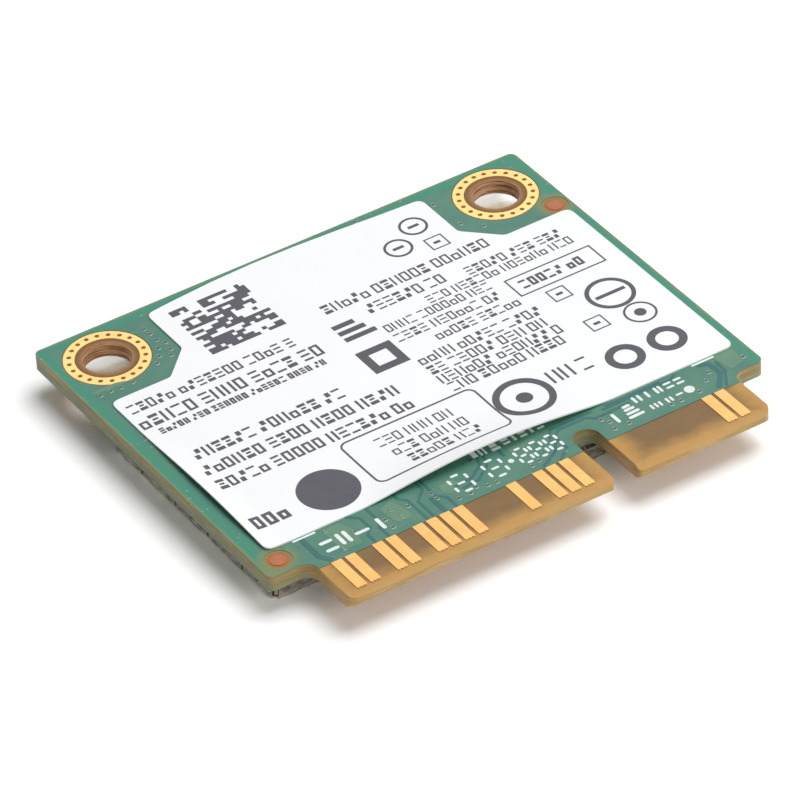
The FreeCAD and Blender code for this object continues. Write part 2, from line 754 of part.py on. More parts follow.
def add_dimples(body, role, snaps, along, across):
    """Dimples that enter the frame's snap holes, with a dent outside, on two opposite walls."""
    tag = role[:2]
    inside = across + " - lid_sheet"
    bumps = sketch_on(body, role, "lid_dimple_places_" + tag, inside)
    dents = sketch_on(body, role, "lid_dent_places_" + tag, across)
    for share in snaps:
        middle = "%g * %s" % (share, along)
        add_regular(bumps, middle, "dimple_level", "dimple_radius", SNAP_SIDES)
        add_regular(dents, middle, "dimple_level", "dent_radius", DENT_SIDES)
    bump = pad(body, bumps, "lid_dimples_" + tag, "dimple_depth", reverse=True)
    dent = pocket(body, dents, "lid_dents_" + tag, "dent_depth")
    mirror = body.newObject("PartDesign::Mirrored", "lid_mirror_" + tag)
    mirror.Originals = [bump, dent]
    mirror.MirrorPlane = (origin_plane(body, role), [""])
    body.Tip = mirror
    doc.recompute()
    level = value(inside + " - dimple_depth")
    axis = 1 if role == "XZ_Plane" else 0

    def on_dimple_top(edge, middle):
        ends = [corner.Point for corner in edge.Vertexes]
        return all(abs(abs(point[axis]) - level) < NEAR for point in ends)

    chamfer(body, mirror, "lid_dimple_edges_" + tag, edges_where(mirror, on_dimple_top), "dimple_edge")


def make_lid():
    body = new_body("shield_lid")
    blank = pad(body, can_sketch(body, "lid_outer", "0", "0"), "lid_block", "lid_wall")
    fillet(body, blank, "lid_bends", edges_where(blank, lambda edge, p: abs(p.z) < NEAR), "lid_bend")
    pocket(body, can_sketch(body, "lid_inner", "lid_wall", "lid_sheet"), "lid_hollow", "lid_wall - lid_sheet")
    corners = sketch_on(body, "XY_Plane", "lid_corner_squares")
    for x in ("-", ""):
        for y in ("-", ""):
            add_rectangle(corners, x + ALONG_X, y + ALONG_Y, "2 * lid_corner", "2 * lid_corner")
    pocket(body, corners, "lid_corner_cut", "lid_wall", upwards=True)
    for role, snaps, slits, _, along, across in WALLS:
        wall_cuts(body, "lid_slits_" + role[:2], role, slits, along, "slit_width",
                  "(lid_sheet + slit_foot)", "(2 * lid_wall)")
        add_dimples(body, role, snaps, along, across)
    place(body, "0", CAN_MIDDLE, "0")
    node(body, "shield_lid")


# Antenna sockets: a square insulator, a round shell with a neck, and a centre contact whose strip
# runs from the pin, under the insulator, out of its front side

SIGNAL_LENGTH = "(socket_base / 2 + strap_reach)"
SIGNAL_MIDDLE = "-%s / 2" % SIGNAL_LENGTH
SOCKET_X = "(%s - socket_from_hole)" % HOLE_X
SOCKET_Y = BACK + " - socket_back_inset"
PIN_SIDES = 16


def make_insulator(name):
    body = new_body(name)
    base = sketch_on(body, "XY_Plane", name + "_base", "-socket_base_height")
    add_rectangle(base, "0", "0", "socket_base", "socket_base")
    add_regular(base, "0", "0", "socket_pin", PIN_SIDES)
    pad(body, base, name + "_plate", "socket_base_height")
    channel = sketch_on(body, "XY_Plane", name + "_channel")
    add_rectangle(channel, "0", SIGNAL_MIDDLE, "signal_width", SIGNAL_LENGTH)
    pocket(body, channel, name + "_channel_cut", "signal_sheet")
    boss = sketch_on(body, "XY_Plane", name + "_boss", "-2 * socket_base_height")
    add_regular(boss, "0", "0", "socket_boss", PIN_SIDES)
    add_regular(boss, "0", "0", "socket_pin", PIN_SIDES)
    pad(body, boss, name + "_collar", "socket_base_height")
    return body


def make_shell(name):
    body = new_body(name)
    profile = sketch_on(body, "XZ_Plane", name + "_profile")
    top, bore = "-socket_height", "socket_neck - socket_wall"
    neck_end = "-socket_base_height - socket_neck_height"
    add_polygon(profile, [
        (bore, "-socket_base_height"), ("socket_neck", "-socket_base_height"), ("socket_neck", neck_end),
        ("socket_radius", neck_end + " - socket_wall"), ("socket_radius", top + " + socket_wall / 2"),
        ("socket_radius - socket_wall / 2", top), (bore, top)])
    revolve(body, profile, name + "_turn")
    straps = sketch_on(body, "XZ_Plane", name + "_straps", "-strap_width / 2")
    edge, root = "socket_base / 2", "(socket_neck - socket_wall / 2)"
    for _, way in SIDES:
        add_polygon(straps, [
            (way + root, "-socket_base_height"), (way + "(%s)" % edge, "-socket_base_height"),
            (way + "(%s)" % edge, "0"), (way + "(%s + strap_reach)" % edge, "0"),
            (way + "(%s + strap_reach)" % edge, "-strap_sheet"),
            (way + "(%s + strap_sheet)" % edge, "-strap_sheet"),
            (way + "(%s + strap_sheet)" % edge, "-socket_base_height - strap_sheet"),
            (way + root, "-socket_base_height - strap_sheet")])
    pad(body, straps, name + "_strap", "strap_width")
    return body


def make_centre_contact(name):
    body = new_body(name)
    outline = sketch_on(body, "XY_Plane", name + "_outline")
    add_regular(outline, "0", "0", "socket_pin", PIN_SIDES)
    pin = pad(body, outline, name + "_pin", "socket_pin_height", reverse=True)
    end = -value("socket_pin_height")
    rim = edges_where(pin, lambda edge, p: abs(p.z - end) < NEAR)
    chamfer(body, pin, name + "_point", rim, "socket_pin / 2")
    strip = sketch_on(body, "XY_Plane", name + "_strip")
    add_rectangle(strip, "0", SIGNAL_MIDDLE, "signal_width", SIGNAL_LENGTH)
    pad(body, strip, name + "_strip_plate", "signal_sheet", reverse=True)
    return body


def make_socket(side_name, side):
    for piece, make in (("insulator", make_insulator), ("shell", make_shell), ("contact", make_centre_contact)):
        name = "%s_antenna_%s" % (side_name, piece)
        node(place(make(name), side + SOCKET_X, SOCKET_Y, "can_height"), name)


# Parts under the shield, seated on the lacquer. They stand in columns across the can, with equal gaps
# between the columns and between the parts of one column, and a row of small parts in each gap

# One column each: its width, then its parts as node, width, length and height
COLUMNS = (
    ("crystal_width", (("memory_chip", "memory_width", "memory_length", "memory_height"),
                       ("crystal", "crystal_width", "crystal_length", "crystal_height"),
                       ("inductors", "inductor_width", "inductor_length", "inductor_height"))),
    ("radio_side", (("radio_chip", "radio_side", "radio_side", "radio_height"),)),
    ("front_end_side", (("front_end_modules", "front_end_side", "front_end_side", "front_end_height"),) * 2),
    ("inductor_width", (("inductors", "inductor_width", "inductor_length", "inductor_height"),) * 2),
)
SMALL_KINDS = ("capacitor", "resistor", "capacitor", "resistor", "capacitor")


def total(formulas):
    return "(" + " + ".join(formulas) + ")" if formulas else "0"


def make_inner_parts():
    widths = [width for width, _ in COLUMNS]
    gap = "((2 * %s - %s) / %d)" % (ROOM_HALF, total(widths), len(COLUMNS) + 1)
    solids = {}
    for number, (width, parts) in enumerate(COLUMNS):
        middle_x = "(%d * %s + %s + %s / 2 - %s)" % (number + 1, gap, total(widths[:number]), width, ROOM_HALF)
        lengths = [part[2] for part in parts]
        space = "((%s - %s) / %d)" % (ROOM_DEPTH, total(lengths), len(parts) + 1)
        for index, (name, wide, long, tall) in enumerate(parts):
            low_y = "%s - %s / 2 + %d * %s + %s" % (CAN_MIDDLE, ROOM_DEPTH, index + 1, space,
                                                    total(lengths[:index]))
            low = ("%s - %s / 2" % (middle_x, wide), low_y, "can_height - " + tall)
            solid = box("%s_%d_%d" % (name, number, index), low, (wide, long, tall))
            solids.setdefault(name, []).append(solid)
    for name, pieces in solids.items():
        node(pieces[0] if len(pieces) == 1 else group(name, pieces), name)
    make_small_parts(widths, gap)


def make_small_parts(widths, gap):
    """In each gap between columns, a row along Y of parts with a body between two metal ends."""
    count = int(value(ROOM_DEPTH + " / row_pitch"))
    pieces = {}
    for number, kind in enumerate(SMALL_KINDS):
        wide, long, tall, end = (kind + "_" + size for size in ("width", "length", "height", "end"))
        low_x = "%d * %s + %s / 2 + %s - %s - %s / 2" % (number, gap, gap, total(widths[:number]), ROOM_HALF, wide)
        for index in range(count):
            if (number + 3 * index) % 4 == 3:
                continue
            low_y = "(%s + (%g) * row_pitch - %s / 2)" % (CAN_MIDDLE, index - (count - 1) / 2, long)
            for part, start, length in (("bodies", end, "%s - 2 * %s" % (long, end)), ("ends", "0", end),
                                        ("ends", "(%s - %s)" % (long, end), end)):
                store = pieces.setdefault("%s_%s" % (kind, part), [])
                name = "%s_%d_%d_%d" % (kind, number, index, len(store))
                store.append(box(name, (low_x, "%s + %s" % (low_y, start), "can_height - " + tall),
                                 (wide, length, tall)))
    for name, solids in pieces.items():
        node(group(name, solids), name)


# Run


def check_and_write():
    doc.recompute()
    for item in doc.Objects:
        if "Invalid" in item.State or "Error" in item.State:
            raise ValueError("%s failed: %s" % (item.Name, item.State))
    os.makedirs("parts", exist_ok=True)
    for item in ALL_NODES:
        shape = item.Shape
        if shape.isNull() or not shape.isValid() or not shape.Solids:
            raise ValueError(item.Label + " has no valid solid")
        shape.exportStep("parts/%s.step" % item.Label)
        span = shape.BoundBox
        print("%-34s %3d solids %9.4f mm3  z %.3f to %.3f" %
              (item.Label, len(shape.Solids), shape.Volume, span.ZMin, span.ZMax))


make_board()
make_mask("solder_mask_label_side", LAMINATE_TOP, DOTS)
make_mask("solder_mask_component_side", "can_height", ())
make_dots()
make_contacts("edge_contacts_label_side", LAMINATE_TOP, EMPTY_PLACES, BURRS)
make_contacts("edge_contacts_component_side", LAMINATE_BOTTOM + " - contact_thickness", {})
for side_name, side in SIDES:
    make_ring(side_name + "_ground_ring_label_side", side, LAMINATE_TOP, True)
    make_ring(side_name + "_ground_ring_component_side", side, LAMINATE_BOTTOM + " - ring_thickness", False)
    make_socket(side_name, side)
make_label()
make_print()
make_legend()
make_frame()
make_lid()
make_inner_parts()
check_and_write()
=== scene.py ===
"""Looks of the plug-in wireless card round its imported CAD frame: camera, light, materials, and the pieces
that are finer here than in the solids: the lifting paper label and its generic print, the plated rings,
the white marks, and the traces and small covered holes in the lacquer."""
import math
import random

import bmesh
import bpy
from mathutils import Matrix, Vector


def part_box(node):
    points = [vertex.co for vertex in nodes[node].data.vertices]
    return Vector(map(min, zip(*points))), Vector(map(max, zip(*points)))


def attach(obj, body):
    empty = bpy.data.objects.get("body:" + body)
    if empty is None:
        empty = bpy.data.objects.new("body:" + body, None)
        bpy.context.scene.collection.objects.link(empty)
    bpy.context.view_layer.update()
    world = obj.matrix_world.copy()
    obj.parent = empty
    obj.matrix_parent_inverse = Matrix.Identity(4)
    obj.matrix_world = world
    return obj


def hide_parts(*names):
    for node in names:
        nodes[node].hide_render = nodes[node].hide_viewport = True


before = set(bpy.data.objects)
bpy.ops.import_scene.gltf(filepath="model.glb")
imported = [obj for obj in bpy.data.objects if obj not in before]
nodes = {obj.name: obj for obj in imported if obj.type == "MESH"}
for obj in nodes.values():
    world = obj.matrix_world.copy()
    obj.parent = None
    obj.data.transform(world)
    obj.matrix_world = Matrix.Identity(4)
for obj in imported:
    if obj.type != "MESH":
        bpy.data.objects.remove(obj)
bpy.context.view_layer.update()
MM = 0.001


def node_box(name):
    """Lowest and highest corner of a CAD node, in millimetres."""
    low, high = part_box(name)
    return low / MM, high / MM


BOARD_LOW, BOARD_HIGH = node_box("circuit_board")
LABEL_LOW, LABEL_HIGH = node_box("label")
RINGS = {side: node_box(side + "_ground_ring_label_side") for side in ("left", "right")}
HOLES = {side: ((low.x + high.x) / 2, (low.y + high.y) / 2) for side, (low, high) in RINGS.items()}
BOARD_TOP = node_box("solder_mask_label_side")[1].z

# Camera, fitted to the photograph. The frame's z = 0 is the plane that the card lies on

AZIMUTH, ELEVATION, ROLL = (math.radians(angle) for angle in (-30.91, 37.23, -3.54))
TARGET = Vector((-1.88, -1.43, BOARD_TOP)) * MM
DISTANCE = 323.4 * MM
PHOTO_PIXELS, FOCAL_PIXELS = 800, 6325
SENSOR = 36.0
CLIP_NEAR, CLIP_FAR = 0.01, 10.0


def make_camera():
    back = Vector((math.sin(AZIMUTH) * math.cos(ELEVATION), -math.cos(AZIMUTH) * math.cos(ELEVATION),
                   math.sin(ELEVATION)))
    level = back.cross(Vector((0, 0, -1))).normalized()
    up = back.cross(level)
    right = math.cos(ROLL) * level + math.sin(ROLL) * up
    up = back.cross(right)
    data = bpy.data.cameras.new("camera")
    data.sensor_width = SENSOR
    data.lens = FOCAL_PIXELS / PHOTO_PIXELS * SENSOR
    data.clip_start, data.clip_end = CLIP_NEAR, CLIP_FAR
    camera = bpy.data.objects.new("camera", data)
    bpy.context.scene.collection.objects.link(camera)
    camera.matrix_world = matrix_of(right, up, back, TARGET + back * DISTANCE)
    bpy.context.scene.camera = camera


def matrix_of(x_axis, y_axis, z_axis, origin):
    rows = [[x_axis[i], y_axis[i], z_axis[i], origin[i]] for i in range(3)]
    return Matrix(rows + [[0, 0, 0, 1]])


make_camera()

# Light

KEY = {"place": (0.22, 0.07, 0.48), "size": 0.5, "power": 2.3, "colour": (0.98, 1.0, 1.03)}
FILL = {"place": (0.12, -0.40, 0.20), "size": 0.3, "power": 0.85, "colour": (1.0, 0.99, 0.97)}
WORLD_COLOUR, WORLD_STRENGTH = (1.0, 0.94, 0.90), 0.25


def add_lamp(name, place, size, power, colour):
    data = bpy.data.lights.new(name, "AREA")
    data.shape, data.size, data.energy, data.color = "DISK", size, power, colour
    lamp = bpy.data.objects.new(name, data)
    bpy.context.scene.collection.objects.link(lamp)
    lamp.location = place
    lamp.rotation_mode = "QUATERNION"
    lamp.rotation_quaternion = (-Vector(place)).to_track_quat("-Z", "Y")


def seen_share(tree, kinds):
    """1 for the kinds of ray that are to see the white background, else 0."""
    path = tree.nodes.new("ShaderNodeLightPath")
    total = path.outputs[kinds[0]]
    for kind in kinds[1:]:
        most = tree.nodes.new("ShaderNodeMath")
        most.operation = "MAXIMUM"
        tree.links.new(total, most.inputs[0])
        tree.links.new(path.outputs[kind], most.inputs[1])
        total = most.outputs[0]
    return total


def make_world():
    world = bpy.data.worlds.new("world")
    bpy.context.scene.world = world
    world.use_nodes = True
    tree = world.node_tree
    lit = tree.nodes["Background"]
    lit.inputs["Color"].default_value = (*WORLD_COLOUR, 1)
    lit.inputs["Strength"].default_value = WORLD_STRENGTH
    seen = tree.nodes.new("ShaderNodeBackground")
    seen.inputs["Color"].default_value = (1, 1, 1, 1)
    seen.inputs["Strength"].default_value = 1.0
    mix = tree.nodes.new("ShaderNodeMixShader")
    share = seen_share(tree, ["Is Camera Ray", "Is Glossy Ray", "Is Transmission Ray"])
    tree.links.new(share, mix.inputs[0])
    tree.links.new(lit.outputs[0], mix.inputs[1])
    tree.links.new(seen.outputs[0], mix.inputs[2])
    tree.links.new(mix.outputs[0], tree.nodes["World Output"].inputs["Surface"])


add_lamp("key", **KEY)
add_lamp("fill", **FILL)
make_world()
bpy.context.scene.view_settings.view_transform = "Standard"

# Materials


def linear(red, green, blue):
    """A colour written as 0 to 255 on screen, as linear values."""
    found = []
    for part in (red, green, blue):
        share = part / 255
        found.append(share / 12.92 if share <= 0.04045 else ((share + 0.055) / 1.055) ** 2.4)
    return (*found, 1.0)


class Finish:
    """A material of one Principled shader, with helpers for its colour, roughness and bump nodes."""

    def __init__(self, name, **constants):
        self.material = bpy.data.materials.new(name)
        self.material.use_nodes = True
        self.tree = self.material.node_tree
        self.shader = self.tree.nodes["Principled BSDF"]
        for key, number in constants.items():
            self.shader.inputs[key.replace("_", " ")].default_value = number
        self.coordinates = self.tree.nodes.new("ShaderNodeTexCoord").outputs["Object"]
        self.last_bump = None

    def plug(self, value, socket):
        if isinstance(value, bpy.types.NodeSocket):
            self.tree.links.new(value, socket)
        else:
            socket.default_value = value

    def stretched(self, x, y, z):
        """Object coordinates in millimetres, times a factor along each axis."""
        scale = self.tree.nodes.new("ShaderNodeVectorMath")
        scale.operation = "MULTIPLY"
        self.tree.links.new(self.coordinates, scale.inputs[0])
        scale.inputs[1].default_value = (x / MM, y / MM, z / MM)
        return scale.outputs[0]

    def axis(self, letter):
        """One coordinate in millimetres."""
        split = self.tree.nodes.new("ShaderNodeSeparateXYZ")
        self.tree.links.new(self.stretched(1, 1, 1), split.inputs[0])
        return split.outputs[letter]

    def normal(self, letter):
        split = self.tree.nodes.new("ShaderNodeSeparateXYZ")
        self.tree.links.new(self.tree.nodes.new("ShaderNodeNewGeometry").outputs["Normal"], split.inputs[0])
        return split.outputs[letter]

    def math(self, operation, a, b=0.0):
        found = self.tree.nodes.new("ShaderNodeMath")
        found.operation = operation
        self.plug(a, found.inputs[0])
        self.plug(b, found.inputs[1])
        return found.outputs[0]

    def noise(self, scale, stretch=(1, 1, 1), detail=3.0, roughness=0.55):
        """Noise with about `scale` features to the millimetre."""
        found = self.tree.nodes.new("ShaderNodeTexNoise")
        self.tree.links.new(self.stretched(*stretch), found.inputs["Vector"])
        found.inputs["Scale"].default_value = scale
        found.inputs["Detail"].default_value = detail
        found.inputs["Roughness"].default_value = roughness
        return found.outputs["Fac"]

    def ramp(self, value, low, high, to_low=0.0, to_high=1.0, smooth=True):
        found = self.tree.nodes.new("ShaderNodeMapRange")
        found.interpolation_type = "SMOOTHSTEP" if smooth else "LINEAR"
        self.plug(value, found.inputs["Value"])
        for key, number in (("From Min", low), ("From Max", high), ("To Min", to_low), ("To Max", to_high)):
            found.inputs[key].default_value = number
        return found.outputs["Result"]

    def mix(self, share, first, second):
        found = self.tree.nodes.new("ShaderNodeMix")
        found.data_type = "RGBA"
        self.plug(share, found.inputs["Factor"])
        self.plug(first, found.inputs["A"])
        self.plug(second, found.inputs["B"])
        return found.outputs["Result"]

    def colour(self, value):
        self.plug(value, self.shader.inputs["Base Color"])
        return self

    def rough(self, value, low, high):
        """Roughness that follows a value from 0 to 1."""
        self.tree.links.new(self.ramp(value, 0, 1, low, high, False), self.shader.inputs["Roughness"])
        return self

    def bump(self, value, depth, strength=1.0):
        """Bump of a value from 0 to 1, depth in millimetres, over the bumps already there."""
        found = self.tree.nodes.new("ShaderNodeBump")
        found.inputs["Strength"].default_value = strength
        found.inputs["Distance"].default_value = depth * MM
        self.plug(value, found.inputs["Height"])
        if self.last_bump is not None:
            self.tree.links.new(self.last_bump, found.inputs["Normal"])
        self.last_bump = found.outputs["Normal"]
        self.tree.links.new(self.last_bump, self.shader.inputs["Normal"])
        return self


def smallest(finish, values):
    found = values[0]
    for value in values[1:]:
        found = finish.math("MINIMUM", found, value)
    return found


OLIVE = linear(126, 136, 88)
TONGUE_SIDES = (-12.6, 12.95)
KEY_X, KEY_HALF = 4.0, 0.75
SHOULDER_Y = -9.8
DOTS_LOW, DOTS_HIGH = node_box("target_dots")
DOT_RADIUS = 0.45
DOTS = tuple((corner.x + inwards, corner.y + inwards)
             for corner, inwards in ((DOTS_LOW, DOT_RADIUS), (DOTS_HIGH, -DOT_RADIUS)))
FRONT_CORNER = (BOARD_LOW.x, SHOULDER_Y)


def distance(finish, places):
    """Distance from the nearest of some upright axes."""
    spans = []
    for x, y in places:
        along = finish.math("SUBTRACT", finish.axis("X"), x)
        across = finish.math("SUBTRACT", finish.axis("Y"), y)
        squares = [finish.math("MULTIPLY", part, part) for part in (along, across)]
        spans.append(finish.math("SQRT", finish.math("ADD", *squares)))
    return smallest(finish, spans)


# Floor of white paper. The camera and the card's mirrors see it brighter than it lights the card

FLOOR_HALF = 3.0
FLOOR_COLOUR, FLOOR_SEEN = (0.86, 0.86, 0.86, 1), (1.22, 1.22, 1.22, 1)
# Painted light: the paper behind the screw holes, where the camera looks through them, is painted brighter,
# a pool of light as if lit through the holes
PAINTED_FLOOR_GLEAM, PAINTED_GLEAM_RADIUS = (2.5, 2.6, 2.8, 1), 0.8


def make_floor():
    data = bpy.data.meshes.new("floor")
    corners = [(x * FLOOR_HALF, y * FLOOR_HALF, 0) for x, y in ((-1, -1), (1, -1), (1, 1), (-1, 1))]
    data.from_pydata(corners, [], [(0, 1, 2, 3)])
    floor = bpy.data.objects.new("floor", data)
    bpy.context.scene.collection.objects.link(floor)
    made = Finish("floor_paper")
    made.tree.nodes.remove(made.shader)
    beyond = BOARD_TOP / math.tan(ELEVATION)
    painted_gleam_spots = [(x - beyond * math.sin(AZIMUTH), y + beyond * math.cos(AZIMUTH)) for x, y in HOLES.values()]
    # Share of the painted pool of light: round the spots behind the holes, and none past the board's back
    # edge
    painted_gleam = made.math("MULTIPLY", made.ramp(distance(made, painted_gleam_spots), PAINTED_GLEAM_RADIUS * 2, PAINTED_GLEAM_RADIUS),
                     made.ramp(made.axis("Y"), BOARD_HIGH.y, BOARD_HIGH.y - PAINTED_GLEAM_RADIUS))
    seen = seen_share(made.tree, ["Is Camera Ray", "Is Glossy Ray"])
    diffuse = made.tree.nodes.new("ShaderNodeBsdfDiffuse")
    paper = made.mix(seen, FLOOR_COLOUR, made.mix(painted_gleam, FLOOR_SEEN, PAINTED_FLOOR_GLEAM))
    made.plug(paper, diffuse.inputs["Color"])
    made.plug(diffuse.outputs[0], made.tree.nodes["Material Output"].inputs["Surface"])
    data.materials.append(made.material)


make_floor()

# What each part of the card is made of


def copper_finish():
    """Bare copper dots, with a darker rim where the lacquer begins."""
    made = Finish("bare_copper", Metallic=0.3)
    cloud = made.noise(3.0, detail=4.0)
    middle = made.mix(cloud, linear(176, 106, 70), linear(156, 90, 54))
    made.colour(made.mix(made.ramp(distance(made, DOTS), 0.32, 0.42), middle, linear(166, 98, 46)))
    made.rough(cloud, 0.4, 0.6)
    made.bump(made.noise(18.0, detail=2.0), 0.01, 0.6)
    return made.material


def laminate_finish():
    """Glass-fibre laminate: amber near its edges, its own colour there with a painted glow of the light that
    comes through them, brown over the inner copper.
    """
    made = Finish("laminate_amber", Subsurface_Weight=0.2, Subsurface_Scale=0.0006,
                  Subsurface_Radius=(1.0, 0.5, 0.15), Specular_IOR_Level=0.3)
    x, y, z = made.axis("X"), made.axis("Y"), made.axis("Z")
    cloud = made.noise(0.9, (1, 1.6, 1), 4.0, 0.6)
    wander = made.math("MULTIPLY", made.math("SUBTRACT", cloud, 0.5), 0.9)
    inside = smallest(made, [
        made.math("SUBTRACT", x, TONGUE_SIDES[0]), made.math("SUBTRACT", TONGUE_SIDES[1], x),
        made.math("SUBTRACT", y, BOARD_LOW.y - 0.05),
        made.math("SUBTRACT", made.math("ABSOLUTE", made.math("SUBTRACT", x, KEY_X)), KEY_HALF)])
    # Amber near the edges is partly the laminate's own colour, partly a painted glow of light through the
    # edges
    depth = made.ramp(made.math("ADD", inside, wander), 0.1, 1.5)
    amber = made.mix(made.noise(0.5), linear(192, 142, 62), linear(182, 144, 80))
    brown = made.mix(made.noise(0.7, (1, 2, 1)), linear(118, 88, 48), linear(136, 106, 62))
    top = made.mix(depth, amber, brown)
    bare = made.mix(made.noise(3.0), linear(150, 90, 40), linear(176, 114, 54))
    bare = made.mix(made.ramp(distance(made, DOTS), 0.56, 0.72), bare, OLIVE)
    top = made.mix(made.ramp(distance(made, DOTS), 1.1, 0.9), top, bare)
    # The cut faces show the cloth in layers: amber on the tongue, olive below the lacquer
    layers = made.noise(1.6, (0.35, 0.35, 5.5), 5.0, 0.65)
    cloth = made.ramp(layers, 0.3, 0.7)
    face = made.mix(cloth, linear(174, 140, 84), linear(204, 172, 118))
    upper = made.ramp(made.math("ADD", z, wander), BOARD_LOW.z + 0.2, BOARD_HIGH.z - 0.1)
    olive = made.mix(cloth, linear(116, 124, 92), linear(146, 154, 118))
    tawny = made.mix(cloth, linear(132, 112, 70), linear(172, 156, 104))
    behind = made.ramp(y, SHOULDER_Y - 0.9, SHOULDER_Y + 0.4)
    face = made.mix(behind, face, made.mix(upper, olive, tawny))
    upright = made.ramp(made.math("ABSOLUTE", made.normal("Z")), 0.75, 0.35)
    # Round the screw holes and on their walls the laminate is dark copper brown
    span = distance(made, HOLES.values())
    near_hole = made.ramp(span, 2.6, 2.2)
    streaks = made.noise(1.2, (0.4, 0.4, 7.0), 4.0, 0.7)
    wall = made.mix(made.ramp(streaks, 0.36, 0.6), linear(132, 84, 52), linear(226, 184, 142))
    collar = made.mix(made.ramp(span, 1.30, 1.60), linear(156, 112, 62), linear(116, 86, 46))
    around = made.mix(upright, collar, wall)
    made.colour(made.mix(near_hole, made.mix(upright, top, face), around))
    made.rough(cloud, 0.36, 0.52)
    weave = made.noise(9.0, (1, 1, 1), 2.0)
    made.bump(weave, 0.012, 0.5)
    made.bump(layers, 0.02, 0.5)
    return made.material


def lacquer_base(made, inner, inner_alt, rim):
    """Green lacquer: greyer over copper, clear green along the bare rim of the board, olive at the very
    edge and round the target dots, where the laminate shows through."""
    x, y = made.axis("X"), made.axis("Y")
    wander = made.math("MULTIPLY", made.math("SUBTRACT", made.noise(0.8), 0.5), 0.3)
    inside = smallest(made, [
        made.math("SUBTRACT", x, BOARD_LOW.x), made.math("SUBTRACT", BOARD_HIGH.x, x),
        made.math("SUBTRACT", BOARD_HIGH.y, y)])
    shaken = made.math("ADD", inside, wander)
    cloud = made.noise(0.45, (1, 1.3, 1), 5.0, 0.6)
    middle = made.mix(made.ramp(cloud, 0.35, 0.65), linear(*inner), linear(*inner_alt))
    plain = made.mix(made.ramp(shaken, 0.35, 0.95), linear(*rim), middle)
    shown = made.math("MAXIMUM", made.ramp(shaken, 0.22, 0.0, 0.0, 0.75),
                      made.ramp(made.math("ADD", distance(made, DOTS), wander), 1.35, 0.7, 0.0, 0.8))
    corner = made.ramp(made.math("ADD", distance(made, [FRONT_CORNER]), wander), 1.7, 0.3, 0.0, 0.9)
    found = made.mix(made.math("MAXIMUM", shown, corner), plain, OLIVE)
    # A few pale specks of wear along the edges
    worn = made.math("MULTIPLY", made.ramp(made.noise(5.5, detail=1.0), 0.74, 0.79),
                     made.ramp(inside, 1.3, 0.8, 0.0, 0.7))
    return made.mix(worn, found, linear(176, 204, 190))


def lacquer_finish(name, inner, inner_alt, rim, roughness, gloss):
    made = Finish(name, Specular_IOR_Level=gloss)
    made.colour(lacquer_base(made, inner, inner_alt, rim))
    fine = made.noise(7.0, detail=4.0)
    made.rough(fine, roughness - 0.06, roughness + 0.08)
    made.bump(fine, 0.006, 0.6)
    made.bump(made.noise(0.6), 0.03, 0.5)
    return made.material


def gold_finish(name, bright, dull, brushed):
    made = Finish(name, Metallic=1.0)
    bright, dull = linear(*bright), linear(*dull)
    stretch = (6, 0.5, 1) if brushed else (1, 1, 1)
    lines = made.noise(2.2, stretch, 4.0, 0.6)
    blotch = made.noise(1.1)
    made.colour(made.mix(made.ramp(blotch, 0.3, 0.7), bright, made.mix(lines, dull, bright)))
    made.rough(lines, 0.34, 0.5)
    made.bump(lines, 0.006, 0.6)
    return made.material


def steel_finish(name, bright, dull):
    """Thin tinned steel with cloudy marks and shallow dents."""
    made = Finish(name, Metallic=1.0)
    bright, dull = linear(*bright), linear(*dull)
    grain = made.noise(1.6, (1, 1, 3), 5.0, 0.6)
    patch = made.noise(0.5)
    marked = made.mix(made.ramp(grain, 0.3, 0.7), dull, bright)
    made.colour(made.mix(made.ramp(patch, 0.55, 0.75, 1.0, 0.3), bright, marked))
    made.rough(grain, 0.1, 0.34)
    made.bump(made.noise(1.1, detail=3.0), 0.09, 0.8)
    made.bump(grain, 0.02, 0.6)
    return made.material


def plain_finish(name, first, second, scale, rough, depth, metallic=0.0, gloss=0.5):
    """A solid with a colour that varies a little, its own roughness and a fine surface."""
    made = Finish(name, Metallic=metallic, Specular_IOR_Level=gloss)
    cloud = made.noise(scale, detail=4.0)
    made.colour(made.mix(made.ramp(cloud, 0.3, 0.7), linear(*first), linear(*second)))
    made.rough(cloud, *rough)
    made.bump(made.noise(scale * 6, detail=2.0), depth, 0.6)
    return made.material


# Material, colour over copper and its variation, colour of the rim, roughness, gloss
LACQUERS = {
    "lacquer": ("lacquer_green", (84, 132, 112), (72, 124, 108), (60, 137, 113), 0.36, 0.3),
    "lacquer trace": ("lacquer_over_trace", (56, 112, 108), (50, 104, 102), (48, 116, 104), 0.3, 0.3),
    "lacquer pour": ("lacquer_over_copper", (104, 142, 114), (94, 136, 112), (84, 142, 112), 0.34, 0.3),
    "lacquer bead": ("lacquer_round_hole", (82, 122, 98), (72, 112, 92), (66, 118, 96), 0.14, 0.9),
}
# Material, bright and dull colour, and whether it is brushed
GOLDS = {
    "gold": ("finger_gold", (214, 164, 101), (196, 146, 86), True),
    "ring gold": ("ring_gold", (255, 196, 127), (250, 182, 112), False),
    "socket gold": ("socket_gold", (236, 190, 112), (210, 160, 84), False),
}
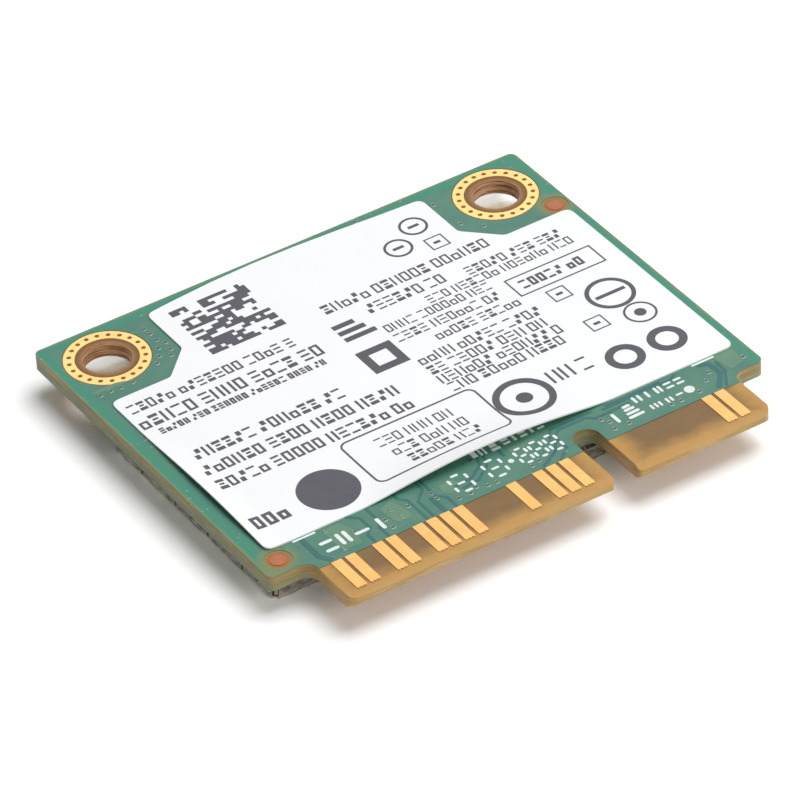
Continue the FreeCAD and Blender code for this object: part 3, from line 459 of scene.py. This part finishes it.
# Material, two colours, patches to the millimetre, roughness, depth of the fine surface, and where they
# differ from the usual the metallic share and the gloss
PLAIN = {
    "paper": ("label_paper", (250, 251, 252), (247, 249, 251), 0.3, (0.42, 0.52), 0.003, 0.0, 0.4),
    "ink": ("dark_ink", (66, 65, 74), (74, 73, 82), 1.5, (0.5, 0.62), 0.002),
    "white ink": ("white_ink", (240, 246, 243), (226, 236, 232), 2.0, (0.5, 0.6), 0.006),
    "socket plastic": ("socket_plastic", (228, 222, 208), (214, 208, 194), 1.0, (0.4, 0.5), 0.006),
    "chip": ("chip_plastic", (42, 43, 46), (54, 54, 58), 2.5, (0.5, 0.7), 0.012),
    "crystal": ("crystal_lid", (196, 194, 188), (168, 166, 160), 1.2, (0.25, 0.4), 0.006, 1.0),
    "ferrite": ("ferrite", (60, 58, 60), (78, 74, 74), 3.0, (0.55, 0.75), 0.02),
    "capacitor": ("capacitor_ceramic", (170, 132, 96), (150, 114, 82), 2.0, (0.4, 0.55), 0.008),
    "resistor": ("resistor_ceramic", (36, 36, 40), (230, 228, 222), 0.6, (0.3, 0.5), 0.006),
    "tin": ("tin_ends", (206, 204, 200), (180, 178, 172), 2.0, (0.25, 0.45), 0.008, 1.0),
    # Painted shade: dark discs at the foot of the small holes in the plated rings
    "pit": ("hole_shadow", (92, 58, 30), (122, 78, 42), 4.0, (0.4, 0.6), 0.01),
    # Painted shade: the dark middle of the small holes under the lacquer
    "covered pit": ("covered_hole", (38, 62, 54), (26, 44, 40), 5.0, (0.2, 0.35), 0.01),
}
FINISHES = {
    "laminate": laminate_finish(),
    "copper": copper_finish(),
    "steel": steel_finish("shield_steel", (222, 216, 207), (130, 124, 116)),
    **{key: lacquer_finish(*row) for key, row in LACQUERS.items()},
    **{key: gold_finish(*row) for key, row in GOLDS.items()},
    **{key: plain_finish(*row) for key, row in PLAIN.items()},
}
FACES = ("label_side", "component_side")
NODE_FINISHES = {
    "laminate": ["circuit_board"],
    "lacquer": ["solder_mask_" + face for face in FACES],
    "copper": ["target_dots"],
    "gold": ["edge_contacts_" + face for face in FACES],
    "ring gold": [side + "_ground_ring_" + face for side in HOLES for face in FACES],
    "socket plastic": [side + "_antenna_insulator" for side in HOLES],
    "socket gold": [side + "_antenna_" + piece for side in HOLES for piece in ("shell", "contact")],
    "paper": ["label"],
    "ink": ["label_print"],
    "white ink": ["legend_label_side"],
    "steel": ["shield_frame", "shield_lid"],
    "chip": ["radio_chip", "front_end_modules", "memory_chip"],
    "crystal": ["crystal"],
    "ferrite": ["inductors"],
    "capacitor": ["capacitor_bodies"],
    "resistor": ["resistor_bodies"],
    "tin": ["capacitor_ends", "resistor_ends"],
}
for finish_name, node_names in NODE_FINISHES.items():
    for node_name in node_names:
        data = nodes[node_name].data
        data.materials.clear()
        data.materials.append(FINISHES[finish_name])

# Making pieces. Their meshes are written in millimetres, in the frame of the card


def finish_piece(name, bm, finishes, replaced=(), smooth_angle=None):
    """Turn a bmesh in millimetres into a piece that rides with the card."""
    bmesh.ops.scale(bm, vec=(MM, MM, MM), verts=bm.verts)
    data = bpy.data.meshes.new(name)
    bm.to_mesh(data)
    bm.free()
    for finish in finishes:
        data.materials.append(FINISHES[finish])
    piece = bpy.data.objects.new(name, data)
    bpy.context.scene.collection.objects.link(piece)
    if smooth_angle is not None:
        data.shade_smooth()
        data.set_sharp_from_angle(angle=math.radians(smooth_angle))
    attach(piece, "root")
    if replaced:
        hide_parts(*replaced)
    return piece


def circle(x, y, radius, sides, start=0.0):
    turns = [start + 2 * math.pi * index / sides for index in range(sides)]
    return [(x + radius * math.cos(turn), y + radius * math.sin(turn)) for turn in turns]


def add_plate(bm, loops, top, thickness, finish=0):
    """A flat plate with the first loop as outline and the others as holes, from its top down."""
    edges = []
    for loop in loops:
        corners = [bm.verts.new((x, y, top)) for x, y in loop]
        edges += [bm.edges.new((corners[index - 1], corners[index])) for index in range(len(corners))]
    made = bmesh.ops.triangle_fill(bm, edges=edges, use_beauty=True, use_dissolve=False, normal=(0, 0, 1))
    faces = [item for item in made["geom"] if isinstance(item, bmesh.types.BMFace)]
    bmesh.ops.recalc_face_normals(bm, faces=faces)
    if faces[0].normal.z < 0:
        bmesh.ops.reverse_faces(bm, faces=faces)
    made = bmesh.ops.extrude_face_region(bm, geom=faces)
    new = [item for item in made["geom"] if isinstance(item, bmesh.types.BMVert)]
    bmesh.ops.translate(bm, vec=(0, 0, -thickness), verts=new)
    solid = set(faces) | {item for item in made["geom"] if isinstance(item, bmesh.types.BMFace)}
    for corner in new:
        solid.update(corner.link_faces)
    for face in solid:
        face.material_index = finish
    bmesh.ops.recalc_face_normals(bm, faces=list(solid))
    return list(solid)


# Label. It is glued flat but lifts at the middle of its front edge and along its left edge

# How far the back edge bows out, where along it, and how far its top leans to the left
BACK_BOW, BOW_SHARES, BOW_LEAN = 0.5, (0.15, 0.3, 0.45, 0.6, 0.75, 0.9), 1.25
LABEL_BACK = LABEL_HIGH.y - BACK_BOW
NOTCH_REACH, NOTCH_DEPTH, NOTCH_CUT = 3.53, 3.50, 1.80
LABEL_CORNER = 0.5
PAPER = LABEL_HIGH.z - LABEL_LOW.z
CELL = 0.4
# Middle along the edge, half length, height of the lift, and how far it reaches into the label. The power
# rounds off the lift towards its ends
FRONT_LIFT = (-0.8, 7.7, 0.59, 3.2)
LEFT_LIFT = (-2.6, 6.6, 0.25, 1.6)
LIFT_POWER = 1.5


def swell(middle, half, height, reach, along, inwards):
    share = abs(along - middle) / half
    if share >= 1 or inwards >= reach:
        return 0.0
    return height * (1 - share ** 2) ** LIFT_POWER * (1 - max(inwards, 0) / reach) ** 2


def lift(x, y):
    return swell(*FRONT_LIFT, x, y - LABEL_LOW.y) + swell(*LEFT_LIFT, y, x - LABEL_LOW.x)


# Corners flatter than this stay as they are, and a round takes at most this share of a side
FLAT_CORNER, SIDE_SHARE = math.radians(175), 0.45


def rounded(points, radius, steps=5):
    """The polygon with its corners rounded off."""
    found = []
    for index, corner in enumerate(points):
        corner = Vector(corner)
        before = Vector(points[index - 1]) - corner
        after = Vector(points[(index + 1) % len(points)]) - corner
        angle = before.angle(after)
        if angle > FLAT_CORNER:
            found.append(tuple(corner))
            continue
        cut = min(radius / math.tan(angle / 2), before.length * SIDE_SHARE, after.length * SIDE_SHARE)
        start, end = corner + before.normalized() * cut, corner + after.normalized() * cut
        for step in range(steps + 1):
            share = step / steps
            point = (1 - share) ** 2 * start + 2 * share * (1 - share) * corner + share ** 2 * end
            found.append(tuple(point))
    return found


def label_outline():
    left_x, left_y = HOLES["left"]
    right_x, right_y = HOLES["right"]
    notch_left, notch_right = left_x + NOTCH_REACH, right_x - NOTCH_REACH
    low_left, low_right = left_y - NOTCH_DEPTH, right_y - NOTCH_DEPTH
    bow = []
    for share in BOW_SHARES:
        x = notch_right + (notch_left - notch_right) * share
        bow.append((x, LABEL_BACK + BACK_BOW * math.sin(math.pi * share ** BOW_LEAN)))
    return [(LABEL_LOW.x, LABEL_LOW.y), (LABEL_HIGH.x, LABEL_LOW.y), (LABEL_HIGH.x, low_right),
            (notch_right + NOTCH_CUT, low_right), (notch_right, low_right + NOTCH_CUT),
            (notch_right, LABEL_BACK), *bow, (notch_left, LABEL_BACK), (notch_left, low_left + NOTCH_CUT),
            (notch_left - NOTCH_CUT, low_left), (LABEL_LOW.x, low_left)]


def make_label():
    bm = bmesh.new()
    add_plate(bm, [rounded(label_outline(), LABEL_CORNER)], LABEL_HIGH.z, PAPER)
    for axis, low, high in ((0, LABEL_LOW.x, LABEL_HIGH.x), (1, LABEL_LOW.y, LABEL_HIGH.y)):
        normal = Vector((1, 0, 0)) if axis == 0 else Vector((0, 1, 0))
        count = int((high - low) / CELL)
        for index in range(1, count):
            bmesh.ops.bisect_plane(bm, geom=bm.verts[:] + bm.edges[:] + bm.faces[:], dist=1e-5,
                                   plane_co=normal * (low + index * CELL), plane_no=normal)
    for corner in bm.verts:
        corner.co.z += lift(corner.co.x, corner.co.y)
    finish_piece("paper_label", bm, ["paper"], ["label"], smooth_angle=40)


make_label()

# Print on the label: bars, boxes, rings and a square of cells. None of it spells anything

PRINT_SHARE = Vector(((LABEL_HIGH.x - LABEL_LOW.x) / 100, (LABEL_BACK - LABEL_LOW.y) / 100))
PRINT_HEIGHT = 0.012
# Longest bar that still follows the lifted paper, and the sides of a round box corner
PIECE, ROUND_SIDES = 0.5, 8


class Marks:
    """Small raised prisms of ink that lie on the label, each a convex polygon in millimetres."""

    def __init__(self):
        self.polygons = []

    def polygon(self, points):
        self.polygons.append(points)

    def bar(self, x, y, wide, tall):
        """A rectangle from its low corner, in pieces short enough to follow the paper."""
        across, up = max(1, math.ceil(wide / PIECE)), max(1, math.ceil(tall / PIECE))
        for column in range(across):
            for row in range(up):
                left, low = x + wide * column / across, y + tall * row / up
                right, high = left + wide / across, low + tall / up
                self.polygon([(left, low), (right, low), (right, high), (left, high)])

    def ring(self, x, y, outer, inner, sides=56, start=0.0, turn=1.0):
        """A ring, or part of one where turn is under 1."""
        steps = [start + 2 * math.pi * turn * index / sides for index in range(sides + 1)]
        for first, second in zip(steps, steps[1:]):
            points = [(x + outer * math.cos(first), y + outer * math.sin(first)),
                      (x + outer * math.cos(second), y + outer * math.sin(second))]
            if inner > 0:
                points += [(x + inner * math.cos(second), y + inner * math.sin(second)),
                           (x + inner * math.cos(first), y + inner * math.sin(first))]
            else:
                points.append((x, y))
            self.polygon(points)

    def frame(self, x, y, wide, tall, line, corner=0.0):
        """The outline of a box, with round corners if asked for."""
        self.bar(x + corner, y, wide - 2 * corner, line)
        self.bar(x + corner, y + tall - line, wide - 2 * corner, line)
        self.bar(x, y + max(corner, line), line, tall - 2 * max(corner, line))
        self.bar(x + wide - line, y + max(corner, line), line, tall - 2 * max(corner, line))
        if corner:
            across, up = wide - 2 * corner, tall - 2 * corner
            for dx, dy, start in ((0, 0, 2), (1, 0, 3), (1, 1, 0), (0, 1, 1)):
                self.ring(x + corner + dx * across, y + corner + dy * up, corner, corner - line,
                          ROUND_SIDES, start * math.pi / 2, 0.25)

    def build(self, name, finish, replaced, surface, height):
        bm = bmesh.new()
        for points in self.polygons:
            low = [bm.verts.new((x, y, surface(x, y) - height / 4)) for x, y in points]
            high = [bm.verts.new((x, y, surface(x, y) + height)) for x, y in points]
            bm.faces.new(high)
            bm.faces.new(low[::-1])
            for index in range(len(points)):
                following = (index + 1) % len(points)
                bm.faces.new((low[index], low[following], high[following], high[index]))
        bmesh.ops.recalc_face_normals(bm, faces=bm.faces[:])
        return finish_piece(name, bm, [finish], replaced)


def spot(x, y):
    """A place on the label, given in hundredths of its width and depth."""
    return LABEL_LOW.x + x * PRINT_SHARE.x, LABEL_LOW.y + y * PRINT_SHARE.y


# Rows of small marks: left end, right end, middle height, height of the row, weight of the strokes
ROWS = (
    (1.4, 37.6, 67.8, 3.7, 0.15), (0.7, 40.1, 61.0, 4.6, 0.15), (2.8, 38.3, 55.9, 2.4, 0.24),
    (3.9, 35.5, 42.5, 4.1, 0.16), (2.8, 43.9, 35.4, 4.1, 0.16), (2.8, 44.3, 28.5, 4.1, 0.16),
    (45.7, 83.0, 74.1, 3.9, 0.13), (52.4, 69.2, 67.8, 3.9, 0.13), (73.5, 95.6, 66.3, 3.4, 0.13),
    (62.9, 95.6, 62.0, 3.2, 0.13), (51.8, 75.2, 57.9, 3.2, 0.13), (51.8, 74.9, 53.0, 3.4, 0.13),
    (58.0, 78.0, 47.8, 3.4, 0.13), (51.3, 77.7, 41.5, 3.7, 0.13), (51.3, 77.7, 36.6, 3.7, 0.13),
    (51.3, 77.7, 32.0, 3.7, 0.13), (51.7, 77.7, 27.8, 3.7, 0.13), (67.5, 77.8, 16.1, 5.2, 0.13),
    (1.8, 11.6, 10.2, 4.9, 0.2), (32.0, 47.8, 19.5, 3.5, 0.12), (33.0, 49.9, 14.4, 3.5, 0.12),
    (34.4, 50.6, 9.4, 3.5, 0.12), (79.2, 94.6, 53.0, 3.6, 0.2),
)
GLYPH_WIDTH, GLYPH_GAP, WORD_GAP = 0.56, 0.17, 0.5


def glyph(marks, kind, x, y, wide, tall, line):
    """One small mark: bars or a box, and never a letter. x and y are its low corner."""
    if kind == "three bars":
        for share in (0, 0.5, 1):
            marks.bar(x, y + (tall - line) * share, wide, line)
    elif kind == "two bars":
        for share in (0, 1):
            marks.bar(x, y + (tall - line) * share, wide, line)
    elif kind == "posts":
        for share in (0, 1):
            marks.bar(x + (wide - line) * share, y, line, tall)
    elif kind == "box":
        marks.frame(x, y, wide, tall, line)
    elif kind == "low box":
        marks.frame(x, y, wide, tall * 0.68, line)
    elif kind == "stacked":
        marks.bar(x, y, wide, tall * 0.3)
        marks.bar(x + wide * 0.2, y + tall * 0.45, wide * 0.6, line)
        marks.bar(x, y + tall * 0.75, wide, tall * 0.25)
    elif kind == "steps":
        marks.bar(x, y, wide * 0.55, tall * 0.42)
        marks.bar(x + wide * 0.45, y + tall * 0.58, wide * 0.55, tall * 0.42)


KINDS = ("three bars", "posts", "box", "stacked", "low box", "two bars", "steps", "box")


def add_row(marks, dice, left, right, middle, tall, weight):
    x, y = spot(left, middle)
    end = spot(right, middle)[0]
    tall *= PRINT_SHARE.y
    y -= tall / 2
    wide, gap = GLYPH_WIDTH * tall, GLYPH_GAP * tall
    word = dice.randint(2, 6)
    while x + wide <= end:
        glyph(marks, dice.choice(KINDS), x, y, wide, tall, weight * tall)
        x += wide + gap
        word -= 1
        if word == 0:
            x += WORD_GAP * wide
            word = dice.randint(3, 7)


# Low corner, cells to a side, width, and the share of runs that are dark
CODE_CORNER, CODE_CELLS, CODE_WIDTH, DARK_SHARE = (22.5, 75.2), 18, 4.5, 0.56


def add_code(marks, dice):
    """A square of dark and light cells in a drawn-by-lot pattern that holds no code."""
    x, y = spot(*CODE_CORNER)
    cell = CODE_WIDTH / CODE_CELLS
    for row in range(CODE_CELLS):
        column = 0
        while column < CODE_CELLS:
            run = dice.choice((1, 1, 2, 2, 3))
            run = min(run, CODE_CELLS - column)
            if dice.random() < DARK_SHARE:
                marks.bar(x + column * cell, y + row * cell, run * cell, cell)
            column += run


# Rings, and discs with 0 as inner radius: middle, outer and inner radius in hundredths, sides
ROUND_MARKS = (
    (18.0, 11.2, 8.1, 0, 72), (60.7, 13.2, 8.1, 6.2, 72), (60.7, 13.2, 2.2, 0, 32),
    (82.2, 12.2, 5.2, 3.0, 56), (91.4, 12.2, 5.2, 3.0, 56), (73.5, 91.2, 3.9, 3.2, 48),
    (67.5, 85.4, 3.9, 3.2, 48), (91.0, 36.6, 6.6, 5.4, 64), (92.1, 25.4, 4.4, 3.8, 48),
    (92.1, 25.4, 1.6, 0, 24),
)
# Bars across the middle of a ring: middle, length and height in hundredths of the depth
RING_BARS = ((73.5, 91.2, 3.2, 1.0), (67.5, 85.4, 3.2, 1.0), (91.0, 36.6, 8.8, 1.2))
# Boxes round rows: low corner, width and height in hundredths, then line and corner radius
BOXES = ((26.0, 4.9, 28.8, 20.0, 0.11, 0.5), (77.3, 48.8, 19.0, 8.3, 0.09, 0.0))
# Small boxes, each with a dash in it: low corner, width and height of the dash in millimetres
SMALL_BOXES, SMALL_BOX, SMALL_LINE = ((72.4, 79.0), (81.5, 41.5), (81.9, 25.4)), 1.1, 0.08
SMALL_DASH = (0.35, 0.45, 0.4, 0.2)
# A thick square, and over it a stack of three bars: how far right and above, and the width
THICK_SQUARE, THICK_SIDE, THICK_LINE = (43.2, 43.5), 2.1, 0.5
STACK = ((0.25, 3.2, 1.9), (0.25, 3.82, 1.6), (0.25, 4.44, 1.3))
STACK_BAR = 0.36
PRINT_SEED = 41


def make_print():
    dice = random.Random(PRINT_SEED)
    marks = Marks()
    for row in ROWS:
        add_row(marks, dice, *row)
    up = PRINT_SHARE.y
    for across, high, outer, inner, sides in ROUND_MARKS:
        marks.ring(*spot(across, high), outer * up, inner * up, sides)
    for across, high, wide, tall in RING_BARS:
        x, y = spot(across, high)
        marks.bar(x - wide * up / 2, y - tall * up / 2, wide * up, tall * up)
    for across, high, wide, tall, line, corner in BOXES:
        marks.frame(*spot(across, high), wide * PRINT_SHARE.x, tall * up, line, corner)
    for across, high in SMALL_BOXES:
        x, y = spot(across, high)
        marks.frame(x, y, SMALL_BOX, SMALL_BOX, SMALL_LINE)
        right, above, wide, tall = SMALL_DASH
        marks.bar(x + right, y + above, wide, tall)
    x, y = spot(*THICK_SQUARE)
    marks.frame(x, y, THICK_SIDE, THICK_SIDE, THICK_LINE)
    for right, above, wide in STACK:
        marks.bar(x + right, y + above, wide, STACK_BAR)
    add_code(marks, dice)
    marks.build("label_marks", "ink", ["label_print"],
                lambda px, py: LABEL_HIGH.z + lift(px, py), PRINT_HEIGHT)


make_print()

# Plated rings with round holes

# The number, radius and first angle of the small holes, then the ring's inner radius and edge round
RING_HOLES, RING_HOLE_RADIUS, RING_HOLE_START = 21, 0.13, 0.11
RING_INNER, RING_SIDES, RING_EDGE = 1.70, 126, 0.012
# Sides and height of the dark disc of painted shade under each small hole, its thickness, and how far it
# reaches past
PIT_SIDES, PIT_LEVEL, PIT_THICKNESS, PIT_REACH = 16, 0.004, 0.003, 0.01
SAME_HEIGHT = 1e-6


def make_rings():
    for side, (low, high) in RINGS.items():
        x, y = HOLES[side]
        outer = (high.x - low.x) / 2
        middle = (outer + RING_INNER) / 2
        bm = bmesh.new()
        places = circle(x, y, middle, RING_HOLES, RING_HOLE_START)
        loops = [circle(x, y, outer, RING_SIDES), circle(x, y, RING_INNER, RING_SIDES)]
        loops += [circle(px, py, RING_HOLE_RADIUS, PIT_SIDES) for px, py in places]
        add_plate(bm, loops, high.z, high.z - low.z)
        top_edges = [edge for edge in bm.edges
                     if all(abs(corner.co.z - high.z) < SAME_HEIGHT for corner in edge.verts)
                     and any(abs(face.normal.z) < 0.5 for face in edge.link_faces)]
        bmesh.ops.bevel(bm, geom=top_edges, offset=RING_EDGE, segments=1, affect="EDGES", clamp_overlap=True)
        # A dark disc of painted shade at the foot of each small hole
        for px, py in places:
            pit = circle(px, py, RING_HOLE_RADIUS + PIT_REACH, PIT_SIDES)
            add_plate(bm, [pit], low.z + PIT_LEVEL, PIT_THICKNESS, 1)
        finish_piece(side + "_ring_plating", bm, ["ring gold", "pit"],
                     [side + "_ground_ring_label_side"])


make_rings()

# White marks on the lacquer in front of the label

WHITE_HEIGHT, END_STEPS = 0.015, 4
# Middle, width and height of each figure
FIGURES = ((-3.15, -9.05, 1.01, 1.40), (-1.11, -9.05, 1.01, 1.40), (0.61, -9.05, 0.65, 1.26),
           (1.51, -9.05, 0.65, 1.26), (2.42, -9.05, 0.65, 1.26))
# Width of a dash, and its length as a share of the figure's width or height
DASH, LEVEL_SHARE, UPRIGHT_SHARE = 0.16, 0.3, 0.18
# Discs: middle, radius and sides
DISCS = ((-0.15, -9.05, 0.16, 20), (10.48, -9.55, 0.29, 24))
# Marks half hidden by the label's lifted front edge: left end, low edge, width, height
HALF_HIDDEN = (
    (-1.55, -7.75, 0.3, 0.5), (-1.1, -7.8, 0.12, 0.62), (-0.85, -7.8, 0.12, 0.62), (-0.45, -7.85, 0.5, 0.2),
    (-0.4, -7.55, 0.4, 0.35), (0.3, -7.75, 0.42, 0.15), (0.3, -7.45, 0.42, 0.15), (0.95, -7.75, 0.15, 0.6),
    (1.35, -7.75, 0.4, 0.15), (1.35, -7.45, 0.4, 0.15), (2.0, -7.75, 0.15, 0.5), (2.4, -7.72, 0.4, 0.15),
)
# Plain strokes: both ends, then the width. A heavy group to the left, two rows to the right, edge lines
STROKES = (
    (-11.5, -9.68, -10.95, -9.68, 0.22), (-11.5, -9.0, -10.95, -9.0, 0.22),
    (-10.5, -9.62, -10.5, -8.85, 0.22), (-10.1, -9.62, -10.1, -8.85, 0.22),
    (-9.62, -9.36, -8.95, -9.36, 0.2), (-8.2, -9.75, -8.2, -9.0, 0.22),
    (7.7, -8.82, 7.7, -8.42, 0.16), (8.02, -8.82, 8.02, -8.42, 0.16), (8.5, -8.82, 8.5, -8.42, 0.16),
    (9.05, -8.82, 9.05, -8.42, 0.16), (9.3, -8.82, 9.3, -8.42, 0.16), (9.65, -8.8, 9.99, -8.8, 0.15),
    (9.65, -8.45, 9.99, -8.45, 0.15), (10.28, -8.8, 10.62, -8.8, 0.15), (10.28, -8.45, 10.62, -8.45, 0.15),
    (6.08, -9.62, 6.08, -8.98, 0.2), (6.72, -9.72, 7.5, -9.7, 0.2), (6.78, -9.4, 7.4, -9.38, 0.2),
    (6.84, -9.08, 7.3, -9.06, 0.2), (6.9, -8.8, 7.2, -8.78, 0.2), (8.1, -9.78, 8.1, -9.5, 0.14),
    (8.36, -9.78, 8.36, -9.5, 0.14), (8.62, -9.78, 8.62, -9.5, 0.14), (9.05, -9.78, 9.05, -9.5, 0.14),
    (9.3, -9.78, 9.3, -9.5, 0.14), (9.7, -9.56, 10.0, -9.56, 0.14),
    (-12.5, -8.02, -11.27, -8.02, 0.13), (11.74, -8.02, 13.03, -8.02, 0.13),
)


def stroke(marks, x0, y0, x1, y1, width):
    """A stroke with round ends."""
    along = Vector((x1 - x0, y1 - y0))
    side = Vector((-along.y, along.x)).normalized() * width / 2
    turn = math.atan2(side.y, side.x)
    loop = []
    for end, start in (((x0, y0), turn), ((x1, y1), turn + math.pi)):
        for step in range(END_STEPS + 1):
            angle = start + math.pi * step / END_STEPS
            loop.append((end[0] + width / 2 * math.cos(angle), end[1] + width / 2 * math.sin(angle)))
    marks.polygon(loop)


def dashed_figure(marks, x, y, wide, tall):
    """The seven short dashes of an empty figure, on which a date is marked."""
    half_wide, half_tall = wide / 2, tall / 2
    level_half, upright_half = wide * LEVEL_SHARE / 2, tall * UPRIGHT_SHARE / 2
    for level in (-1, 0, 1):
        stroke(marks, x - level_half, y + level * half_tall, x + level_half, y + level * half_tall, DASH)
    for side in (-1, 1):
        for middle in (-half_tall / 2, half_tall / 2):
            stroke(marks, x + side * half_wide, y + middle - upright_half, x + side * half_wide,
                   y + middle + upright_half, DASH)


def make_white_marks():
    marks = Marks()
    for figure in FIGURES:
        dashed_figure(marks, *figure)
    for x, y, radius, sides in DISCS:
        marks.ring(x, y, radius, 0, sides)
    for line in STROKES:
        stroke(marks, *line)
    for bar in HALF_HIDDEN:
        marks.bar(*bar)
    marks.build("white_marks", "white ink", ["legend_label_side"],
                lambda x, y: BOARD_TOP, WHITE_HEIGHT)


make_white_marks()

# Traces and copper areas under the lacquer, as low ridges

TRACE_HEIGHT, POUR_HEIGHT, POUR_CORNER = 0.012, 0.0084, 0.25
# A sharp corner of a trace reaches out by half its width over this at most
MITRE_LIMIT = 0.4
# Width, then the points of the line
TRACES = (
    (0.16, ((-5.72, -10.5), (-5.72, -9.0), (-5.0, -8.3), (-5.0, -7.4))),
    (0.16, ((-6.1, -10.5), (-6.1, -8.6), (-6.45, -8.2), (-6.45, -7.4))),
    (0.28, ((-5.05, -10.5), (-5.05, -9.1))),
    (0.16, ((-4.35, -10.5), (-4.35, -9.6), (-4.75, -9.1), (-4.75, -7.3))),
    (0.16, ((-3.6, -9.1), (-2.5, -9.0), (-1.6, -8.4), (-1.15, -7.1))),
    (0.16, ((-3.3, -9.45), (-2.3, -9.35), (-1.35, -8.65), (-0.75, -7.1))),
    (0.16, ((-9.2, -10.5), (-9.2, -9.75), (-8.8, -9.35), (-8.8, -8.4), (-9.6, -7.6))),
    (0.16, ((-8.4, -10.5), (-8.4, -9.6), (-8.15, -9.2), (-8.15, -7.6))),
    (0.30, ((-12.1, -7.9), (-12.1, -9.8), (-11.7, -10.4))),
    (0.16, ((0.95, -10.4), (2.05, -9.75), (2.5, -9.15), (2.5, -8.5), (2.9, -8.1), (5.4, -8.1))),
    (0.16, ((1.9, -10.5), (2.75, -9.8), (2.75, -8.7), (3.2, -8.35), (4.9, -8.35), (5.3, -8.7),
            (7.4, -8.62))),
    (0.14, ((5.9, -8.3), (10.1, -8.3), (10.6, -8.05))),
    (0.14, ((6.2, -8.12), (9.6, -8.12))),
    (0.30, ((11.9, -8.1), (12.5, -8.35), (12.6, -9.3), (11.8, -10.3))),
    (0.16, ((12.9, -8.4), (12.9, -9.3), (12.2, -10.4))),
    (0.16, ((-13.2, -7.9), (-13.2, -8.3))),
    (0.16, ((-0.2, -7.9), (-0.2, -8.5))),
)
POURS = (
    ((-7.7, -8.45), (-6.8, -8.1), (-6.55, -9.2), (-6.6, -9.9), (-7.5, -9.8)),
    ((-10.9, -8.1), (-9.9, -8.1), (-9.6, -8.8), (-9.7, -10.1), (-10.9, -10.1)),
    ((-4.3, -8.6), (-3.5, -8.5), (-3.2, -8.9), (-3.9, -9.5), (-4.3, -9.3)),
    ((0.2, -8.1), (1.8, -8.1), (1.8, -8.5), (0.2, -8.5)),
    ((12.95, -8.0), (14.2, -8.0), (14.2, -9.2), (13.2, -9.5)),
    ((-14.3, 8.6), (-12.9, 8.6), (-12.4, 8.45), (-12.4, 8.3), (-14.3, 8.3)),
)


def strip_sides(points, width):
    """The two sides of a mitred strip along the points."""
    points = [Vector(point) for point in points]
    left, right = [], []
    for index, point in enumerate(points):
        before = (point - points[index - 1]).normalized() if index else None
        after = (points[index + 1] - point).normalized() if index + 1 < len(points) else None
        first, second = before or after, after or before
        bisector = (Vector((-first.y, first.x)) + Vector((-second.y, second.x))).normalized()
        reach = width / 2 / max(MITRE_LIMIT, bisector.dot(Vector((-second.y, second.x))))
        left.append(point + bisector * reach)
        right.append(point - bisector * reach)
    return left, right


def add_prism(bm, loop, low, high, finish):
    bottom, top = ([bm.verts.new((x, y, z)) for x, y in loop] for z in (low, high))
    faces = [bm.faces.new(top), bm.faces.new(bottom[::-1])]
    for index in range(len(loop)):
        faces.append(bm.faces.new((bottom[index - 1], bottom[index], top[index], top[index - 1])))
    for face in faces:
        face.material_index = finish


def make_traces():
    bm = bmesh.new()
    for width, points in TRACES:
        left, right = strip_sides(points, width)
        add_prism(bm, left + right[::-1], BOARD_TOP - TRACE_HEIGHT, BOARD_TOP + TRACE_HEIGHT, 0)
    for points in POURS:
        add_prism(bm, rounded(points, POUR_CORNER), BOARD_TOP - TRACE_HEIGHT, BOARD_TOP + POUR_HEIGHT, 1)
    bmesh.ops.recalc_face_normals(bm, faces=bm.faces[:])
    finish_piece("lacquer_ridges", bm, ["lacquer trace", "lacquer pour"], smooth_angle=30)


make_traces()

# Small plated holes that the lacquer covers: a low glossy rim round a dark pit, a flat disc of painted shade
# for the hole under the lacquer

COVERED_HOLES = (
    (-9.29, 11.69), (-9.25, 11.14), (-9.24, 10.5), (-8.98, 10.04), (-9.54, 9.84), (-9.08, 9.4),
    (-9.86, 9.21), (-9.31, 8.94), (-10.27, 8.75), (-12.13, 8.13), (-12.84, 8.1), (-13.43, 8.15),
    (-14.05, 8.14),
    (12.1, -8.93), (11.59, -9.42), (10.82, -9.97), (9.63, -10.02), (9.03, -10.0), (5.57, -9.95),
    (5.42, -8.93), (5.67, -9.33), (6.41, -9.99), (2.51, -9.92), (1.02, -9.83), (0.48, -9.98), (14.3, -8.9),
    (-10.77, -8.22), (-9.62, -9.11), (-7.86, -9.23), (-7.86, -9.96), (-10.75, -9.95), (-7.2, -8.74),
    (-6.35, -8.99), (-7.01, -9.53), (-4.81, -8.83), (-4.85, -9.33), (-3.93, -9.99), (-3.25, -9.99),
    (-2.74, -9.73), (-2.19, -9.97), (-1.66, -10.0), (-1.76, -7.75), (2.46, -8.9), (8.9, 11.9),
    (8.4, 10.9), (9.1, 9.6),
    (10.0, 8.7), (-4.0, 13.1), (0.6, 13.15), (4.7, 13.12),
)
# Radius and height over the lacquer of each circle of the rim, from outside in
RIM = ((0.185, -0.004), (0.175, 0.0), (0.145, 0.012), (0.11, 0.015), (0.08, 0.004))
RIM_SIDES = 18


def make_covered_holes():
    bm = bmesh.new()
    for x, y in COVERED_HOLES:
        rows = [[bm.verts.new((px, py, BOARD_TOP + height)) for px, py in circle(x, y, radius, RIM_SIDES)]
                for radius, height in RIM]
        for outer, inner in zip(rows, rows[1:]):
            for index in range(RIM_SIDES):
                bm.faces.new((outer[index - 1], outer[index], inner[index], inner[index - 1]))
        # The pit is a flat dark disc of painted shade
        pit = bm.faces.new(rows[-1])
        pit.material_index = 1
        bm.faces.new(rows[0][::-1])
    bmesh.ops.recalc_face_normals(bm, faces=bm.faces[:])
    finish_piece("covered_holes", bm, ["lacquer bead", "covered pit"], smooth_angle=50)


make_covered_holes()
